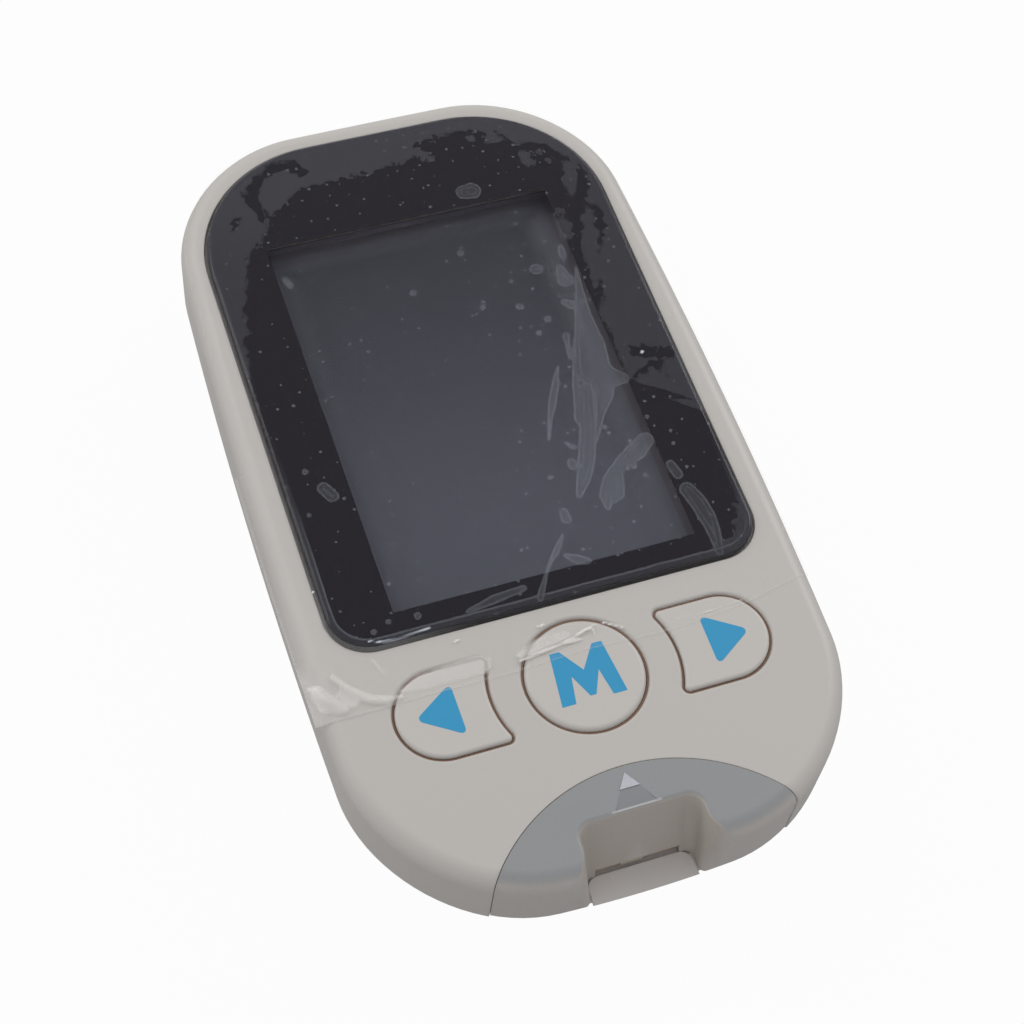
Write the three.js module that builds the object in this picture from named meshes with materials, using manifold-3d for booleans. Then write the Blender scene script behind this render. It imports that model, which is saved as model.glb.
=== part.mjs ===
// Hand-held multiparameter blood meter, lying on its back with the display up.
// Millimetres. +X is to the right of the display, +Y towards its top, +Z out of it.
// The origin is the centre of the rectangle that the meter covers, on the surface it lies on.

import * as THREE from 'three';
import { mergeVertices } from 'three/addons/utils/BufferGeometryUtils.js';
import Module from 'manifold-3d';

const wasm = await Module();
wasm.setup();

// Overall casing
const casingWidth = 55.1;
const casingLength = 99.5;
const casingHeight = 19.6;
const rearShellHeight = 11.2;
const wallThickness = 1.8;
const sideBulge = 1.5;
const stripEndBulge = 2.1;
const topEndBulge = 0.25;
const stripCornerRadius = 16.8;
const topCornerRadius = 16.4;
const topTaperShare = 0.014;

// Clearances between pieces
const clearance = 0.3;
const closeClearance = 0.2;
const overrun = 1;

// Facets of round shapes
const cornerSteps = 8;
const sideSteps = 6;
const roundSteps = 36;
const smallRoundSteps = 16;
const filletSteps = 4;
const hiddenSteps = 2;
const cellSteps = 22;
const filmEdgeSteps = 12;

// Front shell
const topEdgeRadius = 2;
const seamChamfer = 0.25;
const seamSkin = 0.9;
const seamTongueHeight = 1.4;
const innerCornerChamfer = 1;
const keyHoleEdge = 0.3;

// Rear shell: a flat back, a rounded edge and a drafted side that swells up to the seam
const rearSetback = 0.5;
const rearEdgeRadius = 7;
const rearDraftAtEdge = 40;
const rearDraftAtSeam = 30;

// Window lens, placed from the casing's sides and top end and from the keys
const lensSideMargin = 3.75;
const lensTopMargin = 3.15;
const lensToKeys = 8.95;
const lensLowRadius = 4.5;
const lensHighRadius = 15.3;
const lensThickness = 1.4;
const lensSeatDepth = 1;
const lensEdgeRadius = 0.45;
const tapeThickness = 0.2;
const tapeSetback = 0.6;
const openingSideBorder = 5.8;
const openingLowBorder = 2.7;
const openingHighBorder = 12.6;
const openingRadius = 1.2;
const tapeMargin = 1;

// Display stack
const glassMargin = 1.6;
const glassLowMargin = 2.6;
const glassHighMargin = 1;
const glassThickness = 1.5;
const glassLedge = 2.6;
const glassLedgeThickness = 0.75;
const reflectorThickness = 0.7;
const reflectorInset = 0.6;
const frameWall = 1.1;
const connectorInset = 2.6;
const connectorDepth = 1.6;

// Keys: travel, caps and silicone mat
const keyTravel = 0.8;
const keysFromStripEnd = 21.3;
const keySpacing = 4;
const sideKeyMargin = 7.25;
const sideKeyHalfHeight = 4.85;
const sideKeyHollowShare = 0.51;
const sideKeyCornerRadius = 0.7;
const keyGap = 0.25;
const keyProud = 0.1;
const keyEdgeRadius = 0.5;
const keyWall = 1.2;
const keyCrownThickness = 1.3;
const keyFlangeWidth = 0.9;
const keyFlangeThickness = 0.7;
const keyStemRadius = 1.8;
const sideKeyStemInset = 5.7;
const matThickness = 0.6;
const matSideMargin = 1.1;
const matLow = 5.6;
const matHigh = 6;
const matCornerRadius = 2;
const domeRadius = 3.1;
const domeTopRadius = 2.1;

// Strip port cover, with its finger recess and the slot for the strip
const portArcRadius = 20;
const portReach = 10.65;
const portGap = 0.15;
const portEndSetback = 0.25;
const portCrownThickness = 1.6;
const portFlangeWidth = 1.2;
const portFlangeThickness = 1.2;
const recessHalfWidthTop = 6.6;
const recessHalfWidthLow = 5.9;
const recessReachTop = 5.95;
const recessReachLow = 3.05;
const recessCornerRadius = 1.3;
const recessEdgeRadius = 0.5;
const recessWall = 1.2;
const slotHalfWidth = 4.2;
const slotHeight = 1;
const tongueHalfWidth = 5.6;
const tongueThickness = 0.9;
const tongueRise = 0.15;

// Board and the pieces on it
const boardBottom = 14;
const boardThickness = 1;
const boardInset = 3.2;
const besideBay = 0.4;
const processorSize = 7;
const processorThickness = 1.4;
const processorAlongBay = 5;
const amplifierLength = 6.2;
const amplifierWidth = 5;
const amplifierThickness = 1.5;
const amplifierAlongBay = 16;
const memoryLength = 5;
const memoryWidth = 4;
const memoryThickness = 1.2;
const memoryAlongBay = 6;
const buzzerRadius = 3.6;
const buzzerThickness = 3;
const buzzerAlongBay = 36;
const buzzerSoundRadius = 0.9;
const buzzerSoundDepth = 0.8;

// Strip connector under the board
const socketHalfWidth = 6.4;
const socketDepth = 3.8;
const socketLengthShare = 0.393;
const socketThroatHalfWidth = 4.3;
const socketThroatHeight = 1.9;
const socketThroatRise = 0.05;
const contactCount = 4;
const contactPitch = 1.9;
const contactWidth = 0.7;
const contactThickness = 0.2;
const contactTipShare = 0.21;
const contactBendShare = 0.36;
const contactRootShare = 0.68;
const contactTail = 1;
const contactHeadroom = 0.5;
const contactDip = 0.5;
const contactTipRise = 0.35;

// Battery bay, two AAA cells side by side
const cellRadius = 5.2;
const cellLength = 44.5;
const cellNubRadius = 1.9;
const cellNubLength = 0.8;
const cellEdge = 0.5;
const cellGap = 0.7;
const bayFromTopEnd = 14.65;
const bayWall = 1.2;
const bayRoom = 1.15;
const bayCeiling = 0.9;
const bayOpeningRoom = 0.25;
const lipThickness = 0.9;
const contactPlate = 0.4;
const plateHalfWidth = 4.5;
const plateHeight = 9;
const springRadius = 3.1;
const springTipRadius = 1.7;
const springLength = 3.1;
const dimpleRadius = 1.6;
const dimpleHeight = 0.4;
const dimpleTipShare = 0.5;

// Battery door
const doorEndHeight = 6;
const railThickness = 0.8;
const railLength = 6;
const railCount = 3;
const railSpacing = 14;
const gripCount = 5;
const gripSpacing = 1.9;
const gripWidth = 0.9;
const gripDepth = 0.5;
const gripHalfLength = 6.5;
const gripFromBayEnd = 11.1;

// Screws and bosses
const topScrewFromSide = 10.55;
const topScrewFromEnd = 10.25;
const stripScrewFromSide = 10.05;
const stripScrewFromEnd = 12.75;
const screwHeadRadius = 2;
const screwCrownShare = 0.75;
const screwHeadThickness = 1.4;
const screwShankRadius = 1;
const screwLength = 6.6;
const screwTip = 0.8;
const screwSeatHeight = 7.6;
const screwSeatThickness = 2;
const rearBossRadius = 3.3;
const frontBossRadius = 2.4;
const boardScrewFromSide = 4.35;
const boardScrewHeadRadius = 1.5;
const boardScrewHeadThickness = 0.9;
const boardScrewShankRadius = 0.6;
const boardScrewLength = 3.2;
const boardScrewTip = 0.5;
const boardPostRadius = 1.5;

// Protective film
const filmThickness = 0.2;
const filmGap = 0.1;
const filmInset = 0.6;
const filmStep = 0.5;
const filmEdgeLeft = 3.05;
const filmEdgeRight = 4.85;
const filmEdgeWave = 0.5;
const filmEdgeWaves = 1.5;

// Places seen from above, worked out from the sizes above
const stripEndY = -casingLength / 2;
const topEndY = casingLength / 2;
const keyCenterY = stripEndY + keysFromStripEnd;
const sideKeyOuterX = casingWidth / 2 - sideKeyMargin;
const sideKeyStemX = sideKeyOuterX - sideKeyStemInset;
const sideKeyHollowRadius = sideKeyOuterX * sideKeyHollowShare;
const menuKeyRadius = sideKeyHollowRadius - keySpacing;
const matHalfWidth = sideKeyOuterX + matSideMargin;
const lensHalfWidth = casingWidth / 2 - lensSideMargin;
const lensLowY = keyCenterY + lensToKeys;
const lensHighY = topEndY - lensTopMargin;
const openingHalfWidth = lensHalfWidth - openingSideBorder;
const openingLowY = lensLowY + openingLowBorder;
const openingHighY = lensHighY - openingHighBorder;
const displayCenterY = (openingLowY + openingHighY) / 2;
const glassHalfWidth = openingHalfWidth + glassMargin;
const glassLowY = openingLowY - glassLowMargin;
const glassHighY = openingHighY + glassHighMargin;
const portArcCenterY = stripEndY + portReach - portArcRadius;
const recessLipY = stripEndY + recessReachTop;
const recessLowY = stripEndY + recessReachLow;
const topScrewX = casingWidth / 2 - topScrewFromSide;
const topScrewY = topEndY - topScrewFromEnd;
const stripScrewX = casingWidth / 2 - stripScrewFromSide;
const stripScrewY = stripEndY + stripScrewFromEnd;
const boardScrewX = casingWidth / 2 - boardScrewFromSide;
const cellX = cellRadius + cellGap / 2;
const bayHalfWidth = cellX + cellRadius + bayRoom;
const bayOpeningHalfWidth = cellX + cellRadius + bayOpeningRoom;

// The back wall of the finger recess leans out as it goes down
const recessBackAt = (z) =>
  recessLipY + (recessLowY - recessLipY) * (casingHeight - z) / (casingHeight - rearShellHeight);

// Heights and places worked out from the sizes above
const topWallBottom = casingHeight - wallThickness;
const lensSeatHeight = casingHeight - lensSeatDepth;
const lensBottom = lensSeatHeight + tapeThickness;
const lensTop = lensBottom + lensThickness;
const boardTop = boardBottom + boardThickness;
const boardEndY = recessBackAt(boardTop) + recessWall + clearance;
const socketFrontY = recessBackAt(boardBottom) + recessWall + clearance;
const glassTop = topWallBottom - clearance;
const glassBottom = glassTop - glassThickness;
const reflectorBottom = glassBottom - reflectorThickness;
const matTop = boardTop + matThickness;
const keyFlangeTop = topWallBottom - clearance;
const keyFlangeBottom = keyFlangeTop - keyFlangeThickness;
const domeTop = matTop + keyTravel + closeClearance;
const keyStemBottom = domeTop + clearance;
const keyTop = casingHeight + keyProud;
const cellCenterHeight = wallThickness + clearance + cellRadius;
const bayCeilingBottom = cellCenterHeight + cellRadius + closeClearance;
const bayCeilingTop = bayCeilingBottom + bayCeiling;
const negativeEndLength = clearance + contactPlate + springLength + clearance;
const positiveEndLength = clearance + contactPlate + dimpleHeight + clearance;
const bayLength = negativeEndLength + cellLength + positiveEndLength;
const bayEndY = topEndY - bayFromTopEnd;
const bayStartY = bayEndY - bayLength;
const socketLength = (bayStartY - bayWall - socketFrontY) * socketLengthShare;
const socketBackY = socketFrontY + socketLength;
const gripY = bayEndY - gripFromBayEnd;
const socketBottom = boardBottom - socketDepth;
const socketThroatBottom = rearShellHeight + tongueRise + socketThroatRise;
const socketThroatTop = socketThroatBottom + socketThroatHeight;
const contactRunHeight = socketThroatTop - contactHeadroom - contactThickness;

// Materials
const plastic = (color, roughness) => new THREE.MeshStandardMaterial({ color, roughness, metalness: 0 });
const metal = (color, roughness) => new THREE.MeshStandardMaterial({ color, roughness, metalness: 1 });
const ivoryPlastic = plastic(0xb8b4b1, 0.45);
const frostedPlastic = plastic(0x8e8f92, 0.5);
const blackLens = plastic(0x26252a, 0.08);
const displayGlass = plastic(0x4c4c53, 0.2);
const whitePlastic = plastic(0xe4e4e0, 0.5);
const blackPlastic = plastic(0x202022, 0.5);
const darkRubber = plastic(0x3a3a3c, 0.8);
const paleRubber = plastic(0xc9cbcc, 0.7);
const boardGreen = plastic(0x1f5a38, 0.4);
const foilTape = plastic(0x161618, 0.9);
const clearFilm = plastic(0xdfe4ea, 0.1);
const springMetal = metal(0xd9d4c4, 0.3);
const screwSteel = metal(0x8d8d90, 0.35);
const cellJacket = plastic(0x35506e, 0.35);

// Outlines are lists of points that run anticlockwise, seen from above
function arcPoints(x, y, radius, from, to, steps) {
  const points = [];
  for (let i = 0; i <= steps; i++) {
    const angle = from + (to - from) * i / steps;
    points.push(new THREE.Vector2(x + radius * Math.cos(angle), y + radius * Math.sin(angle)));
  }
  return points;
}

function roundedOutline(left, right, low, high, lowRadius, highRadius, steps = cornerSteps, runs = 1) {
  const quarter = Math.PI / 2;
  const corners = [
    arcPoints(left + lowRadius, low + lowRadius, lowRadius, 2 * quarter, 3 * quarter, steps),
    arcPoints(right - lowRadius, low + lowRadius, lowRadius, 3 * quarter, 4 * quarter, steps),
    arcPoints(right - highRadius, high - highRadius, highRadius, 0, quarter, steps),
    arcPoints(left + highRadius, high - highRadius, highRadius, quarter, 2 * quarter, steps),
  ];
  const points = [];
  corners.forEach((corner, k) => {
    points.push(...corner);
    const last = corner[corner.length - 1];
    const next = corners[(k + 1) % corners.length][0];
    for (let i = 1; i < runs; i++) points.push(last.clone().lerp(next, i / runs));
  });
  return points;
}

function insetOutline(points, inset) {
  return points.map((point, i) => {
    const before = points[(i + points.length - 1) % points.length];
    const after = points[(i + 1) % points.length];
    const along = after.clone().sub(before).normalize();
    return new THREE.Vector2(point.x - along.y * inset, point.y + along.x * inset);
  });
}

// The casing seen from above: a rounded rectangle whose four sides are drawn outwards
function casingOutline(inset) {
  const halfWidth = casingWidth / 2 - sideBulge;
  const low = stripEndY + stripEndBulge;
  const high = topEndY - topEndBulge;
  const middle = (low + high) / 2;
  const halfLength = (high - low) / 2;
  const straight = roundedOutline(
    -halfWidth, halfWidth, low, high, stripCornerRadius, topCornerRadius, cornerSteps, sideSteps);
  const bulged = straight.map((point) => {
    const across = point.x / halfWidth;
    const along = (point.y - middle) / halfLength;
    const endBulge = along > 0 ? topEndBulge : stripEndBulge;
    const taper = 1 - topTaperShare * along;
    const x = (point.x + sideBulge * (1 - along * along) * across) * taper;
    const y = point.y + endBulge * (1 - across * across) * along;
    return new THREE.Vector2(x, y);
  });
  return insetOutline(bulged, inset);
}

function lensOutline(inset) {
  const points = roundedOutline(
    -lensHalfWidth, lensHalfWidth, lensLowY, lensHighY, lensLowRadius, lensHighRadius);
  return insetOutline(points, inset);
}

function sideKeyOutline(grow) {
  const half = sideKeyHalfHeight + grow;
  const hollow = sideKeyHollowRadius - grow;
  const round = sideKeyCornerRadius;
  const endX = sideKeyOuterX - sideKeyHalfHeight;
  const spread = Math.asin((half - round) / (hollow + round));
  const cornerX = (hollow + round) * Math.cos(spread);
  const quarter = Math.PI / 2;
  const steps = cornerSteps;
  const points = [
    ...arcPoints(cornerX, round - half, round, Math.PI - spread, Math.PI + quarter, filletSteps),
    ...arcPoints(endX, 0, half, -quarter, quarter, 2 * steps),
    ...arcPoints(cornerX, half - round, round, quarter, Math.PI + spread, filletSteps),
    ...arcPoints(0, 0, hollow, spread, -spread, steps).slice(1, -1),
  ];
  return points.map((point) => new THREE.Vector2(point.x, point.y + keyCenterY));
}

// Solids
function loft(levels) {
  const count = levels[0].points.length;
  const positions = levels.flatMap(({ points, z }) => points.flatMap((point) => [point.x, point.y, z]));
  const index = [];
  for (let level = 0; level < levels.length - 1; level++) {
    for (let i = 0; i < count; i++) {
      const a = level * count + i;
      const b = level * count + (i + 1) % count;
      index.push(a, b, b + count, a, b + count, a + count);
    }
  }
  const top = (levels.length - 1) * count;
  const lowFaces = THREE.ShapeUtils.triangulateShape(levels[0].points, []);
  const highFaces = THREE.ShapeUtils.triangulateShape(levels[levels.length - 1].points, []);
  for (const [a, b, c] of lowFaces) index.push(c, b, a);
  for (const [a, b, c] of highFaces) index.push(top + a, top + b, top + c);
  const geometry = new THREE.BufferGeometry();
  geometry.setAttribute('position', new THREE.Float32BufferAttribute(positions, 3));
  geometry.setIndex(index);
  return solidOf(geometry);
}

function solidOf(geometry) {
  const bare = geometry.clone();
  bare.deleteAttribute('normal');
  bare.deleteAttribute('uv');
  const merged = mergeVertices(bare);
  return new wasm.Manifold(new wasm.Mesh({
    numProp: 3,
    vertProperties: Float32Array.from(merged.attributes.position.array),
    triVerts: Uint32Array.from(merged.index.array),
  }));
}

function geometryOf(solid) {
  const mesh = solid.getMesh();
  const geometry = new THREE.BufferGeometry();
  geometry.setAttribute('position', new THREE.BufferAttribute(mesh.vertProperties, 3));
  geometry.setIndex(new THREE.BufferAttribute(mesh.triVerts, 1));
  geometry.computeVertexNormals();
  return geometry;
}

function prism(points, low, high) {
  return loft([{ points, z: low }, { points, z: high }]);
}

function block(left, right, near, far, low, high) {
  const geometry = new THREE.BoxGeometry(right - left, far - near, high - low);
  geometry.translate((left + right) / 2, (near + far) / 2, (low + high) / 2);
  return solidOf(geometry);
}

function post(x, y, radius, low, high, topRadius = radius, steps = smallRoundSteps) {
  const geometry = new THREE.CylinderGeometry(topRadius, radius, high - low, steps);
  geometry.rotateX(Math.PI / 2);
  geometry.translate(x, y, (low + high) / 2);
  return solidOf(geometry);
}

function turned(profile, steps) {
  const geometry = new THREE.LatheGeometry(profile.map(([radius, z]) => new THREE.Vector2(radius, z)), steps);
  geometry.rotateX(Math.PI / 2);
  return geometry;
}

const besideBayX = (halfSize) => bayHalfWidth + bayWall + besideBay + halfSize;
const union = (solids) => solids.reduce((all, solid) => all.add(solid));
const mirrored = (make) => [make(-1), make(1)];
const caseScrewPlaces = [
  [-topScrewX, topScrewY], [topScrewX, topScrewY], [-stripScrewX, stripScrewY], [stripScrewX, stripScrewY],
];

// Levels of a rounded edge that runs from an upright wall over to a flat top
function roundedTop(outline, low, high, radius, steps = filletSteps) {
  const levels = [{ points: outline(0), z: low }];
  for (let i = 0; i <= steps; i++) {
    const angle = Math.PI / 2 * i / steps;
    const inset = radius * (1 - Math.cos(angle));
    levels.push({ points: outline(inset), z: high - radius * (1 - Math.sin(angle)) });
  }
  return levels;
}

// Side profile of the rear shell, from its flat back up to the seam, moved inwards by the wall
function rearLevels(wall, steps = filletSteps) {
  const edge = THREE.MathUtils.degToRad(rearDraftAtEdge);
  const seam = THREE.MathUtils.degToRad(rearDraftAtSeam);
  const flat = Math.PI / 2;
  const edgeHeight = rearEdgeRadius * (1 - Math.sin(edge));
  const sideRadius = (rearShellHeight - edgeHeight) / (Math.sin(edge) - Math.sin(seam));
  const edgeReach = rearEdgeRadius * Math.cos(edge);
  const sideReach = sideRadius * (Math.cos(seam) - Math.cos(edge));
  const inset = rearSetback + edgeReach + sideReach;
  const levels = [];
  const place = (angle, reach, z) => {
    const points = casingOutline(inset - reach + wall * Math.cos(angle));
    levels.push({ points, z: z + wall * Math.sin(angle) });
  };
  for (let i = 0; i <= steps; i++) {
    const angle = flat + (edge - flat) * i / steps;
    place(angle, rearEdgeRadius * Math.cos(angle), rearEdgeRadius * (1 - Math.sin(angle)));
  }
  for (let i = 1; i <= steps; i++) {
    const angle = edge + (seam - edge) * i / steps;
    const reach = edgeReach + sideRadius * (Math.cos(angle) - Math.cos(edge));
    place(angle, reach, edgeHeight + sideRadius * (Math.sin(edge) - Math.sin(angle)));
  }
  return levels;
}

function frontOuter(setback) {
  const outline = (inset) => casingOutline(inset + setback);
  const levels = roundedTop(outline, rearShellHeight + seamChamfer, casingHeight, topEdgeRadius);
  return loft([{ points: outline(seamChamfer), z: rearShellHeight }, ...levels]);
}

function frontInner(wall, top) {
  return loft([
    { points: casingOutline(wall), z: rearShellHeight - overrun },
    { points: casingOutline(wall), z: top - innerCornerChamfer },
    { points: casingOutline(wall + innerCornerChamfer), z: top },
  ]);
}

const portCylinder = (radius, low, high) =>
  post(0, portArcCenterY, radius, low, high, radius, 2 * roundSteps);

// A hole through the top wall whose rim is eased
function keyHole(outline) {
  return loft([
    { points: outline(keyGap), z: topWallBottom - overrun },
    { points: outline(keyGap), z: casingHeight - keyHoleEdge },
    { points: outline(keyGap + keyHoleEdge), z: casingHeight },
    { points: outline(keyGap + keyHoleEdge), z: casingHeight + overrun },
  ]);
}

const menuKeyOutline = (grow) =>
  arcPoints(0, keyCenterY, menuKeyRadius + grow, 0, 2 * Math.PI, roundSteps).slice(0, -1);
const mirrorOutline = (points) => points.map((point) => new THREE.Vector2(-point.x, point.y)).reverse();
const rightKeyOutline = sideKeyOutline;
const leftKeyOutline = (grow) => mirrorOutline(sideKeyOutline(grow));

function makeFrontCasing() {
  const opening = roundedOutline(
    -openingHalfWidth, openingHalfWidth, openingLowY, openingHighY,
    openingRadius, openingRadius, filletSteps);
  const rebate = prism(
    casingOutline(seamSkin), rearShellHeight - overrun, rearShellHeight + seamTongueHeight + clearance);
  const bossBottom = screwSeatHeight + screwSeatThickness + clearance;
  const bosses = caseScrewPlaces.map(([x, y]) =>
    post(x, y, frontBossRadius, bossBottom, topWallBottom + overrun / 2));
  const bores = caseScrewPlaces.map(([x, y]) =>
    post(x, y, screwShankRadius + clearance, screwSeatHeight, topWallBottom - clearance));
  const boardPosts = mirrored((side) =>
    post(side * boardScrewX, displayCenterY, boardPostRadius, boardTop, topWallBottom + overrun / 2));
  const boardBores = mirrored((side) =>
    post(side * boardScrewX, displayCenterY, boardScrewShankRadius + clearance, boardBottom, topWallBottom));
  return frontOuter(0)
    .subtract(frontInner(wallThickness, topWallBottom))
    .subtract(rebate)
    .add(union([...bosses, ...boardPosts]))
    .subtract(union([...bores, ...boardBores]))
    .subtract(prism(lensOutline(-clearance), lensSeatHeight, casingHeight + overrun))
    .subtract(prism(opening, topWallBottom - overrun, casingHeight))
    .subtract(keyHole(menuKeyOutline))
    .subtract(keyHole(leftKeyOutline))
    .subtract(keyHole(rightKeyOutline))
    .subtract(portCylinder(portArcRadius, rearShellHeight - overrun, casingHeight + overrun));
}

function makeWindowLens() {
  return loft(roundedTop(lensOutline, lensBottom, lensTop, lensEdgeRadius));
}

function makeLensTape() {
  const halfWidth = openingHalfWidth + tapeMargin;
  const inner = roundedOutline(
    -halfWidth, halfWidth, openingLowY - tapeMargin, openingHighY + tapeMargin,
    openingRadius, openingRadius, filletSteps);
  return prism(lensOutline(tapeSetback), lensSeatHeight, lensBottom)
    .subtract(prism(inner, lensSeatHeight - overrun, lensBottom + overrun));
}

function makeDisplayPanel() {
  const step = glassBottom + glassLedgeThickness;
  const back = block(-glassHalfWidth, glassHalfWidth, glassLowY, glassHighY, glassBottom, step);
  const front = block(
    -glassHalfWidth, glassHalfWidth, glassLowY + glassLedge, glassHighY, glassBottom, glassTop);
  return back.add(front);
}

function makeReflector() {
  return block(
    reflectorInset - glassHalfWidth, glassHalfWidth - reflectorInset,
    glassLowY + glassLedge, glassHighY - reflectorInset,
    reflectorBottom, glassBottom);
}

function makeDisplayFrame() {
  const reach = glassHalfWidth + closeClearance;
  const low = glassLowY - closeClearance;
  const high = glassHighY + closeClearance;
  const outer = block(
    -reach - frameWall, reach + frameWall, low - frameWall, high + frameWall, boardTop, glassTop);
  return outer.subtract(block(-reach, reach, low, high, boardTop - overrun, glassTop + overrun));
}

function makeDisplayConnector() {
  const low = glassLowY + (glassLedge - connectorDepth) / 2;
  const half = glassHalfWidth - connectorInset;
  return block(-half, half, low, low + connectorDepth, boardTop, glassBottom);
}

// A key cap: a crowned shell with a flange behind the casing and a stem over its dome
function makeKey(outline, stemX) {
  const skirt = (inset) => outline(-inset);
  const cap = loft(roundedTop(skirt, keyFlangeBottom, keyTop, keyEdgeRadius));
  const flange = prism(outline(keyFlangeWidth), keyFlangeBottom, keyFlangeTop);
  const hollow = prism(outline(-keyWall), keyFlangeBottom - overrun, keyTop - keyCrownThickness);
  const stemTop = keyTop - keyCrownThickness + overrun / 2;
  const stem = post(stemX, keyCenterY, keyStemRadius, keyStemBottom, stemTop);
  return cap.add(flange).subtract(hollow).add(stem);
}

function makeKeypadMat() {
  const sheet = roundedOutline(
    -matHalfWidth, matHalfWidth, keyCenterY - matLow, keyCenterY + matHigh,
    matCornerRadius, matCornerRadius, filletSteps);
  const domes = [-sideKeyStemX, 0, sideKeyStemX].map((x) =>
    post(x, keyCenterY, domeRadius, matTop - matThickness / 2, domeTop, domeTopRadius));
  return prism(sheet, boardTop, matTop).add(union(domes));
}

// The finger recess narrows towards the slot and its back wall leans in
function recessLevel(z, grow) {
  const share = (casingHeight - z) / (casingHeight - rearShellHeight);
  const halfWidth = recessHalfWidthTop + (recessHalfWidthLow - recessHalfWidthTop) * share + grow;
  const back = recessBackAt(z) + grow;
  const outside = stripEndY - overrun;
  const round = recessCornerRadius;
  const quarter = Math.PI / 2;
  return {
    z,
    points: [
      new THREE.Vector2(-halfWidth, outside),
      new THREE.Vector2(halfWidth, outside),
      ...arcPoints(halfWidth - round, back - round, round, 0, quarter, filletSteps),
      ...arcPoints(round - halfWidth, back - round, round, quarter, 2 * quarter, filletSteps),
    ],
  };
}

function recessSolid(grow, low, high) {
  return loft([recessLevel(low, grow), recessLevel(high, grow)]);
}

function makeStripPortCover() {
  const top = casingHeight - portCrownThickness;
  const insert = frontOuter(portEndSetback)
    .intersect(portCylinder(portArcRadius - portGap, rearShellHeight - overrun, casingHeight + overrun));
  const skirtWall = frontInner(portEndSetback + portCrownThickness, top)
    .intersect(portCylinder(
      portArcRadius - portGap - portCrownThickness, rearShellHeight - overrun, casingHeight));
  const below = topWallBottom - portFlangeThickness - clearance;
  const openBelow = loft([
    { points: casingOutline(portEndSetback + portCrownThickness), z: rearShellHeight - overrun },
    { points: casingOutline(portEndSetback + portCrownThickness), z: below },
  ]);
  const recessShell = recessSolid(recessWall, rearShellHeight - overrun, casingHeight);
  const flangeRing = portCylinder(portArcRadius + portFlangeWidth, below, topWallBottom - clearance)
    .subtract(portCylinder(portArcRadius - portCrownThickness, below - overrun, casingHeight))
    .intersect(prism(
      casingOutline(wallThickness + clearance + innerCornerChamfer), below - overrun, casingHeight));
  const rimmedRecess = loft([
    recessLevel(rearShellHeight - overrun, 0),
    recessLevel(casingHeight - recessEdgeRadius, 0),
    recessLevel(casingHeight, recessEdgeRadius),
    recessLevel(casingHeight + overrun, recessEdgeRadius),
  ]);
  const slotBottom = rearShellHeight - overrun;
  const slotTop = rearShellHeight + tongueRise + slotHeight;
  return insert
    .subtract(skirtWall.add(openBelow).subtract(recessShell))
    .add(flangeRing)
    .subtract(rimmedRecess)
    .subtract(block(
      -slotHalfWidth, slotHalfWidth, recessLowY - overrun, socketBackY, slotBottom, slotTop));
}

function bayBlock(halfWidth, margin, low, high) {
  return block(-halfWidth, halfWidth, bayStartY - margin, bayEndY + margin, low, high);
}

// Space that the battery door takes out of the rear shell, grown by a gap all round
function doorSpace(gap) {
  const half = bayOpeningHalfWidth - clearance + gap;
  const start = bayStartY + clearance - gap;
  return block(-half, half, start, casingLength / 2 + overrun, -overrun, doorEndHeight + gap);
}

function makeRearCasing() {
  const outer = loft(rearLevels(0));
  const inner = loft([...rearLevels(wallThickness, hiddenSteps), {
    points: casingOutline(rearSetback + wallThickness), z: rearShellHeight + wallThickness,
  }]);
  const tongueTop = rearShellHeight + seamTongueHeight;
  const seamTongue = prism(casingOutline(seamSkin + clearance), rearShellHeight - overrun, tongueTop)
    .subtract(prism(casingOutline(wallThickness + clearance), rearShellHeight - 2 * overrun, tongueTop + overrun))
    .subtract(portCylinder(portArcRadius + portFlangeWidth, 0, casingHeight));
  const wells = caseScrewPlaces.map(([x, y]) =>
    post(x, y, screwHeadRadius + clearance, -overrun, screwSeatHeight));
  const shankHoles = caseScrewPlaces.map(([x, y]) =>
    post(x, y, screwShankRadius + clearance, 0, casingHeight));
  const bosses = caseScrewPlaces.map(([x, y]) =>
    post(x, y, rearBossRadius, 0, screwSeatHeight + screwSeatThickness));
  const bay = bayBlock(bayHalfWidth + bayWall, bayWall, 0, bayCeilingTop)
    .subtract(bayBlock(bayHalfWidth, 0, lipThickness, bayCeilingBottom));
  const shell = outer.subtract(inner).add(seamTongue).add(union([...bosses, bay]).intersect(outer.add(
    prism(casingOutline(boardInset), rearShellHeight - overrun, casingHeight))));
  return shell
    .subtract(doorSpace(clearance).intersect(block(
      -casingWidth, casingWidth, -casingLength, casingLength, -overrun, wallThickness + clearance)
      .add(block(-casingWidth, casingWidth, bayEndY + bayWall, casingLength, -overrun, casingHeight))))
    .subtract(railSpace())
    .subtract(union([...wells, ...shankHoles]))
    .add(makeStripTongue());
}

// Room above the lips in which the rails of the door run
function railSpace() {
  const high = wallThickness + clearance;
  return block(-bayHalfWidth, bayHalfWidth, bayStartY, bayEndY + bayWall + overrun, lipThickness, high);
}

// The floor of the finger recess, which carries the strip into the slot
function makeStripTongue() {
  const top = rearShellHeight + tongueRise;
  const outside = stripEndY - overrun;
  const slotSide = slotHalfWidth - clearance;
  const backWall = recessLowY - clearance;
  const flare = backWall + slotSide - tongueHalfWidth;
  const side = [[tongueHalfWidth, outside], [tongueHalfWidth, flare], [slotSide, backWall],
    [slotSide, socketFrontY - clearance]];
  const right = side.map(([x, y]) => new THREE.Vector2(x, y));
  const outline = [...right, ...mirrorOutline(right)];
  return prism(outline, top - tongueThickness, top)
    .intersect(prism(casingOutline(portEndSetback), 0, casingHeight));
}

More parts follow.
